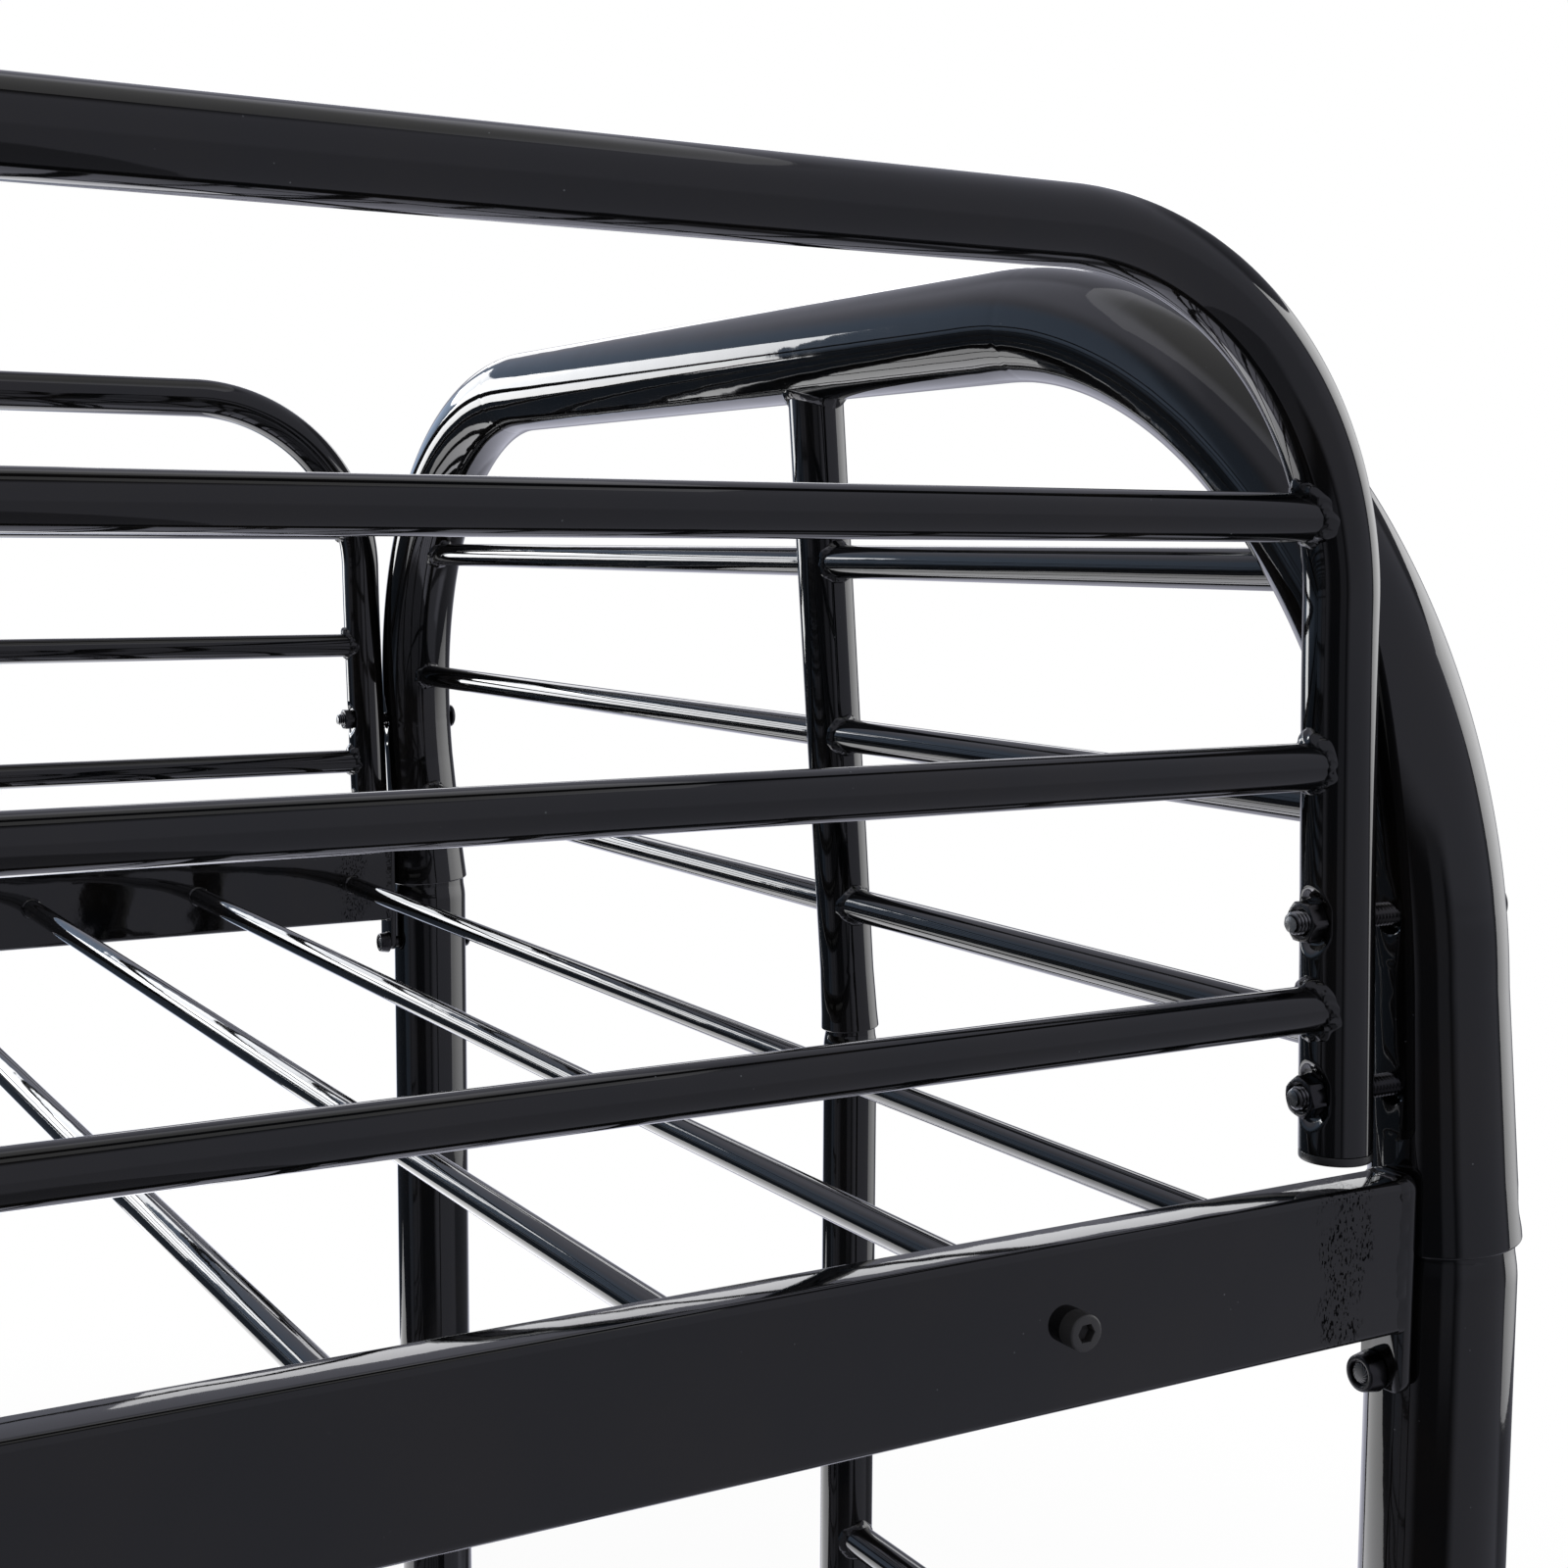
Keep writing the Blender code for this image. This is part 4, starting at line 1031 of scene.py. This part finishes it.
for end_name, end in ENDS.items():
    for side_name, side in SIDES.items():
        corner = f"{side_name}_{end_name}"
        x, y = end * HALF_LONG, side * HALF_WIDE
        foot = (x + end * (float(splay(GUARD_FOOT)) - GUARD_INSET[side_name]), y, GUARD_FOOT)
        plug(f"foot_cap_{corner}", foot, GUARD_RADIUS, CAP, f"guard_cap_{corner}")
        plug(f"post_glide_{corner}", (x, y, 0), POST_RADIUS, GLIDE, f"floor_glide_{corner}")
    plug(f"small_glide_{end_name}", (x, STILE_Y, 0), STILE_RADIUS, GLIDE, f"stile_glide_{end_name}")
tell()

# %% [markdown]
# ## Bolts and nuts
#
# The guard rails hang on bolts with domed heads outside and hexagon nuts inside. A thread is a
# helix: the radius falls and rises once per pitch as the height goes up, and the whole pattern
# turns with the angle. A hexagon is the lesser of its flat sides and the chamfer's cone.

# %% Bolts and nuts
HEAD_RADIUS = 0.0078
HEAD_HEIGHT = 0.0036
NUT_HEIGHT = 0.0065
NUT_RADIUS = 0.0075
NUT_BORE = 0.0043
STUBS = {"upper": 0.0042, "lower": 0.0026}
NUT_TURNS = {"upper": 0.0, "lower": math.radians(-16)}


def threaded(start, stop, radius=0.004, depth=0.0008, columns=28):
    """A rod along X whose radius follows a rounded tooth of height over pitch less angle. The map
    holds the height and the share of a turn times the pitch, so the paint can darken the grooves
    with painted shade."""
    rows = np.linspace(start, stop, int(abs(stop - start) / (THREAD_PITCH / 8)) + 2)[:, None]
    angle = round_angles(columns)
    around = angle[None, :] / TAU * THREAD_PITCH
    tooth = 1 - np.abs(2 * ((rows - around) / THREAD_PITCH % 1) - 1)
    here = radius - depth * (1 - tooth) ** 0.8 - np.clip(0.0009 - np.abs(rows - stop), 0, None)
    grid = np.stack(np.broadcast_arrays(rows, here * np.cos(angle), here * np.sin(angle)), axis=-1)
    crest = np.full((2, columns + 1), THREAD_PITCH / 2)
    tip = patch(np.concatenate([grid[-1:], grid[-1:] * (1, 0, 0)]), along=crest, around=0 * crest)
    root = patch(np.concatenate([grid[:1] * (1, 0, 0), grid[:1]]), along=crest, around=0 * crest)
    return [root, patch(grid, along=rows, around=around), tip]


def six_flats(radius, angle):
    """A hexagon's outline: the radius times cos 30, over cos of the angle off a flat's middle."""
    return radius * math.cos(math.pi / 6) / np.cos(angle % (math.pi / 3) - math.pi / 6)


def hexagon(start, turn, columns=72):
    """A nut that grows down local X: its radius is the lesser of the flats and of the chamfer's
    cone, which falls to the front circle, and its bore is stepped in at the front."""
    flat = six_flats(NUT_RADIUS, round_angles(columns) + turn)
    front = NUT_RADIUS * math.cos(math.pi / 6) - 0.0002
    rows = [(0.0, NUT_BORE), (0.0, front), (0.0006, flat)]
    for share in (0.0, 0.25, 0.5, 0.75, 1.0):
        cone = NUT_RADIUS - share * (NUT_RADIUS - front)
        rows.append((NUT_HEIGHT - (1 - share) * 0.0008, np.minimum(flat, cone)))
    rows += [(NUT_HEIGHT, NUT_BORE + 0.0010), (NUT_HEIGHT - 0.0009, NUT_BORE), (0.0, NUT_BORE)]
    return ringed([(start - depth, radius) for depth, radius in rows], columns)


def domed_head(start):
    """A pan head: radius falls with the cosine and height rises with the sine of one angle."""
    angle = np.linspace(0, math.pi / 2, 9)
    height = HEAD_HEIGHT * (0.35 + 0.65 * np.sin(angle))
    dome = np.stack([HEAD_RADIUS * np.cos(angle) ** 0.8, height], axis=1)
    foot = [(0, 0), (HEAD_RADIUS - 0.0004, 0), (HEAD_RADIUS, 0.0004)]
    return turned(np.concatenate([foot, dome[:-1], [(0, HEAD_HEIGHT)]]) + (0, start))


def guard_bolt(inset, lift, stub, turn):
    """Local X points outboard from the hoop's axis: head outside, shank through, nut inside."""
    head = leg_face(lift - HEAD_RADIUS, -1) + FIT
    nut = -(inset + GUARD_RADIUS - SEAT_DEPTH) - FIT
    dark = domed_head(head) + threaded(head + 0.0005, nut - 0.002) + hexagon(nut, turn)
    return dark, threaded(nut - 0.001, nut - NUT_HEIGHT - stub)


def sleeve_nut(start, base=0.0074, nose=0.0064, length=0.0064, bore=0.00435, step=0.0011):
    """A round nut whose profile narrows from its base to its nose and steps into its bore."""
    outline = [(0, 0), (base, 0), (nose, length), (bore, length), (bore, length - step), (0, length - step)]
    outline = softened(outline, [0, 0.0004, 0.0011, 0.0005, 0, 0], 5)
    return turned(outline * (1, -1) + (0, start))


def rail_bolt(stand_off):
    """The sleeve nut and the head are dark, and the bolt's end shows grey in the nut's bore."""
    nut = -(stand_off + FIT + PLATE_THICKNESS) - FIT
    dark = domed_head(POST_RADIUS + FIT) + straight((nut - 0.004, POST_RADIUS + 0.0005), 0.0038, 28)
    end = softened([(0, 0.0005), (0.0037, 0.0005), (0.0037, -0.0014), (0, -0.0014)], [0, 0.0003, 0.0006, 0])
    return dark + sleeve_nut(nut), turned(end + (0, nut - 0.0044), 36)


def fasten(name, parts, place, end, stands_for):
    """A bolt dressed in its dark finish and in its rubbed grey one, whose grooves carry painted
    shade, with its head pointing outboard.
    """
    dark, grey = (placed(part, place, (end, 0, 0), (0, end, 0)) for part in parts)
    dress(name, dark, nut_black, "black_bolt", stands_for, second=grey, second_finish=thread_grey_with_groove_shade)


for side_name, side in SIDES.items():
    for end_name, end in ENDS.items():
        x, y = end * HALF_LONG, side * HALF_WIDE
        for level, height in GUARD_BOLTS.items():
            inset = GUARD_INSET[side_name] - float(splay(height))
            label = f"{side_name}_{level}_{end_name}"
            bolt = guard_bolt(inset, height - UPPER_DECK, STUBS[level], NUT_TURNS[level])
            fasten(f"guard_fastener_{label}", bolt, (x, y, height), end, f"guard_bolt_{label}")
        for deck_name, deck in DECKS.items():
            corner = f"{side_name}_{end_name}"
            bolt, place = rail_bolt(STAND_OFF[deck_name]), (x, y, deck - RAIL_BOLT_DROP)
            name = f"rail_fastener_{deck_name}_{corner}"
            fasten(name, bolt, place, end, f"{deck_name}_rail_bolt_{corner}")
tell()

# %% [markdown]
# ## Cap screws of the front rail
#
# A cap screw stands on the outer face of the front rail near each end. Its socket is a hexagonal
# hole: rows that are hexagons go down inside the head, and rows that are circles go round it.

# %% Cap screws
SCREW_X = 0.8250
SCREW_RADIUS = 0.0060
SCREW_HEIGHT = 0.0062
SCREW_RIM = 0.0008
KEY_RADIUS = 0.0032


def cap_screw(columns=72):
    """Circles up the head's side and over its rim, then hexagons down the socket to a cone."""
    flat = six_flats(KEY_RADIUS, round_angles(columns))
    low, inner = SCREW_HEIGHT - SCREW_RIM, SCREW_RADIUS - SCREW_RIM
    rows = [(-0.0010, 0.0), (-0.0010, SCREW_RADIUS), (low, SCREW_RADIUS)]
    rows += [(low + SCREW_RIM * math.sin(a), inner + SCREW_RIM * math.cos(a)) for a in (0.4, 0.8, 1.2)]
    rows.append((SCREW_HEIGHT, inner))
    socket = ((0.0, flat + 0.0002), (0.0002, flat), (0.0034, flat), (0.0042, 0.0))
    return ringed(rows + [(SCREW_HEIGHT - depth, radius) for depth, radius in socket], columns)


for end_name, end in ENDS.items():
    place = (end * SCREW_X, -(RAIL_Y + RAIL_THICKNESS / 2), UPPER_DECK)
    screw = placed(cap_screw(), place, (0, -1, 0), (1, 0, 0))
    dress(f"cap_screw_{end_name}", screw, screw_black, "black_bolt")
tell()
print("open edges:", {name: gaps for name, (count, gaps) in made.items() if gaps})

# %% [markdown]
# ## Floor and background
#
# The photograph is a catalogue picture. A white sweep hangs behind the bed and runs out under it,
# and the room round the camera is a dim grey that is darkest at the left. Gloss black shows
# nothing but its surroundings, so the world is told apart by direction: where a reflection meets
# the sweep it sees plain white, and elsewhere the room. The directions are those seen from the
# bed's corner in the photograph.

# %% Floor and sweep
MIRROR_TINT = (0.955, 0.965, 1.13)
COOL_TINT = (0.76, 0.98, 1.34)
COOL_SIDE = (-75, 6, -20, 25, 7)
CORNER = Vector((HALF_LONG, -HALF_WIDE, 1.30))
BOX_AZIMUTH = 80
BOX_ELEVATION = 1
BOX_RIM = (40, 4, 0.16)
ROOM = 0.47
REGIONS = [
    (-200, 200, -100, -2, 4, 0.40),
    (-160, -95, -100, 5, 8, 0.04),
    (-152, -134, -21, 5, 3, 0.19),
    (-200, -95, -100, -36, 6, 0.20),
    (-100, -50, -100, 30, 8, 0.24),
    (-50, 2, -34, 27, 4, 0.50),
    (-60, 5, -26, -3, 3, 0.06),
    (-50, 2, -100, -34, 4, 1.0),
    (-66, 4, 34, 58, 8, 0.74),
    (2, 58, -7, 15, 3, 0.42),
    (-14, 8, 0, 12, 3, 1.0),
    (2, 31, -100, -7, 3, 1.0),
    (31, 47, -100, -7, 3, 0.70),
    (47, 62, -100, -20, 3, 0.10),
    (62, 92, -50, -18, 4, 0.70),
    (-200, 200, 62, 100, 6, 0.05),
]
FLOOR_REACH = 60
FLOOR_WHITE = (0.85, 0.85, 0.85, 1)
LIT_SHARE = 0.80
LIT_FADE = (1.8, 3.6)
EVEN_LIGHT = (0.55, 0.55, 0.55)


def toward(azimuth, elevation):
    """The unit vector of a direction in degrees, its azimuth from +Y toward +X."""
    azimuth, elevation = math.radians(azimuth), math.radians(elevation)
    flat = math.cos(elevation)
    return Vector((flat * math.sin(azimuth), flat * math.cos(azimuth), math.sin(elevation)))


def window(tree, value, low, high, soft):
    """1 between low and high and 0 outside, with smooth borders: a rise times one less a rise."""
    rise = ranged(tree, value, low - soft, low + soft, interpolation_type="SMOOTHSTEP")
    fall = ranged(tree, value, high - soft, high + soft, 1.0, 0.0, interpolation_type="SMOOTHSTEP")
    return maths(tree, "MULTIPLY", rise, fall)


def region(tree, turn, rise, *degrees):
    """A window of the azimuth, from left to right, times one of the elevation, from bottom to top."""
    left, right, bottom, top, soft = (math.radians(angle) for angle in degrees)
    sides, heights = window(tree, turn, left, right, soft), window(tree, rise, bottom, top, soft)
    return maths(tree, "MULTIPLY", sides, heights)


def mirror_studio_group():
    """The colour that a mirror sees in a direction: each region has a level of its own, and later
    regions lie over earlier ones. A dark rim goes round the right soft box: a window of the arc
    cosine of a dot product. The level scales a tint, which is cooler at the left."""
    inputs, outputs = [("Direction", "NodeSocketVector", None)], [("Colour", "NodeSocketColor")]
    group, given, out = new_group("mirror studio", inputs, outputs)
    way = vectors(group, "NORMALIZE", given.outputs["Direction"])
    axes = node(group, "ShaderNodeSeparateXYZ", {0: way}).outputs
    turn = maths(group, "ARCTAN2", axes[0], axes[1])
    rise = maths(group, "ARCSINE", axes[2])
    level = ROOM
    for *degrees, value in REGIONS:
        level = ranged(group, region(group, turn, rise, *degrees), 0.0, 1.0, level, value)
    dot = vectors(group, "DOT_PRODUCT", way, tuple(toward(BOX_AZIMUTH, BOX_ELEVATION)), output="Value")
    reach, soft, value = BOX_RIM
    rim = window(group, maths(group, "ARCCOSINE", dot), -1.0, math.radians(reach), math.radians(soft))
    level = ranged(group, rim, 0.0, 1.0, level, value)
    hue = mixed(group, region(group, turn, rise, *COOL_SIDE), MIRROR_TINT, COOL_TINT)
    group.links.new(vectors(group, "SCALE", hue, Scale=level), out.inputs["Colour"])
    return group


mirror_studio = mirror_studio_group()


def seen_studio(tree, direction):
    """The studio's colour, plain white or in a mirror the tinted regions, and the rays that see it."""
    studio = tree.nodes.new("ShaderNodeGroup")
    studio.node_tree = mirror_studio
    tree.links.new(direction, studio.inputs["Direction"])
    path = tree.nodes.new("ShaderNodeLightPath").outputs
    colour = mixed(tree, path["Is Glossy Ray"], (1, 1, 1), studio.outputs["Colour"])
    direct = maths(tree, "ADD", path["Is Camera Ray"], path["Is Glossy Ray"])
    direct = maths(tree, "ADD", direct, path["Is Transmission Ray"], use_clamp=True)
    return colour, direct, path["Is Glossy Ray"]


def floor_material():
    """A matt sheet that the lamps light, white of its own accord to the camera far from the bed and
    partly so near it, so that the bed's shadow stays. A mirror sees the studio's regions in it."""
    finish = bpy.data.materials.new("white studio floor")
    finish.use_nodes = True
    tree = finish.node_tree
    tree.nodes.clear()
    out = tree.nodes.new("ShaderNodeOutputMaterial")
    spot = tree.nodes.new("ShaderNodeTexCoord").outputs["Object"]
    colour, direct, in_mirror = seen_studio(tree, vectors(tree, "SUBTRACT", spot, tuple(CORNER)))
    seen = node(tree, "ShaderNodeEmission", {"Color": colour}).outputs[0]
    matt = node(tree, "ShaderNodeBsdfDiffuse", {"Color": FLOOR_WHITE}).outputs[0]
    away = vectors(tree, "LENGTH", spot, output="Value")
    share = ranged(tree, away, *LIT_FADE, LIT_SHARE, interpolation_type="SMOOTHSTEP")
    share = maths(tree, "MULTIPLY", direct, ranged(tree, in_mirror, 0.0, 1.0, share, 1.0))
    mix = node(tree, "ShaderNodeMixShader", {0: share, 1: matt, 2: seen})
    tree.links.new(mix.outputs[0], out.inputs["Surface"])
    return finish


floor_mesh = bpy.data.meshes.new("floor")
corners = [(x * FLOOR_REACH, y * FLOOR_REACH, 0) for x, y in ((-1, -1), (1, -1), (1, 1), (-1, 1))]
floor_mesh.from_pydata(corners, [], [(0, 1, 2, 3)])
floor_mesh.materials.append(floor_material())
floor = new_object("floor", floor_mesh)
print("studio regions:", len(REGIONS), "floor:", 2 * FLOOR_REACH, "m square")

# %% [markdown]
# ## World
#
# The same regions fill the sky, so a reflection that leaves the floor meets them without a break.
# The camera sees plain white, and matt surfaces get an even light from all round.

# %% Studio world
world = bpy.data.worlds.new("studio")
world.use_nodes = True
world.node_tree.nodes.clear()
world_out = world.node_tree.nodes.new("ShaderNodeOutputWorld")
sky_way = world.node_tree.nodes.new("ShaderNodeTexCoord").outputs["Generated"]
sky, direct, in_mirror = seen_studio(world.node_tree, sky_way)
sky = mixed(world.node_tree, direct, EVEN_LIGHT, sky)
light = node(world.node_tree, "ShaderNodeBackground", {"Color": sky})
world.node_tree.links.new(light.outputs[0], world_out.inputs["Surface"])
bpy.context.scene.world = world
print("world nodes:", len(world.node_tree.nodes))

# %% [markdown]
# ## Soft boxes
#
# A large soft box stands at the right, three strips light the sweep, one hangs overhead, and a flat
# one just above the floor behind the bed stands in for the light that the sweep throws up under the
# crown. A lamp's brightness is told as what a mirror would show, because that is how it was found.

# %% Soft boxes
def soft_box(name, direction, distance, size, brightness, facing=None, roll=0, spread=180, start=CORNER):
    """A lamp at a direction and distance from the bed's corner or another start. Its size is two
    angles in degrees as seen from there. Brightness is what a mirror shows at its middle: with a
    spread of twice a, it is the even lamp's value times tan a over (tan a less a)."""
    lamp = bpy.data.lights.new(name, "AREA")
    lamp.shape = "RECTANGLE"
    lamp.size, lamp.size_y = (2 * distance * math.tan(math.radians(angle / 2)) for angle in size)
    lamp.spread = math.radians(spread)
    if spread < 180:
        half = math.radians(spread / 2)
        brightness *= (math.tan(half) - half) / math.tan(half)
    lamp.energy = brightness * math.pi * lamp.size * lamp.size_y
    away = toward(*direction)
    back = toward(*facing) if facing else away
    place = back.to_track_quat("Z", "Y").to_matrix().to_4x4() @ Matrix.Rotation(-math.radians(roll), 4, "Z")
    place.translation = start + distance * away
    box = new_object(name, lamp)
    box.matrix_world = place
    box.visible_camera = False
    print(name, "at", tuple(round(value, 2) for value in place.translation), "energy", round(lamp.energy, 1))


box_way = (BOX_AZIMUTH, BOX_ELEVATION)
soft_box("right soft box", box_way, 2.25, (60, 52), 3.5, facing=(104, 18), spread=104)
soft_box("low sweep light", (-20.5, 6.8), 3.5, (14, 20), 6.2)
soft_box("rising sweep light", (-9, 15.5), 3.5, (18, 7.0), 4.0, roll=20)
soft_box("high sweep light", (26, 18.8), 3.5, (38, 7.6), 2.0)
soft_box("overhead light", (0, 90), 2.7, (58, 51), 0.5, start=Vector((0.6, 0, 1.3)))
soft_box("floor bounce", (0, -90), 1.27, (84, 79), 2.0, start=Vector((0.1, 1.95, 1.3)))

# %% [markdown]
# ## Camera
#
# The camera stands inside the length of the bed, just in front of its guard rail, and looks along
# it to the right-hand corner. Its place and lens were solved from the edges of the tubes.

# %% Camera
CAMERA_PLACE = (0.4027, -1.0470, 1.5015)
CAMERA_TURNS = (30.14, -6.025, 0.30)
FOCAL_PIXELS = 2320.2
PHOTO_PIXELS = 1600
SENSOR = 36.0

yaw, pitch, roll = (math.radians(angle) for angle in CAMERA_TURNS)
ahead = np.array([math.sin(yaw) * math.cos(pitch), math.cos(yaw) * math.cos(pitch), math.sin(pitch)])
right = np.array([math.cos(yaw), -math.sin(yaw), 0.0])
up = np.cross(right, ahead)
right, up = math.cos(roll) * right + math.sin(roll) * up, math.cos(roll) * up - math.sin(roll) * right
lens = bpy.data.cameras.new("photo camera")
lens.sensor_width = SENSOR
lens.lens = FOCAL_PIXELS / PHOTO_PIXELS * SENSOR
lens.clip_start = 0.05
camera = new_object("photo camera", lens)
turn = Matrix(np.column_stack([right, up, -ahead]).tolist()).to_4x4()
camera.matrix_world = Matrix.Translation(CAMERA_PLACE) @ turn
bpy.context.scene.camera = camera
bpy.context.scene.view_settings.view_transform = "Standard"
print("lens:", round(lens.lens, 2), "mm")

# %% Update the scene
bpy.context.view_layer.update()
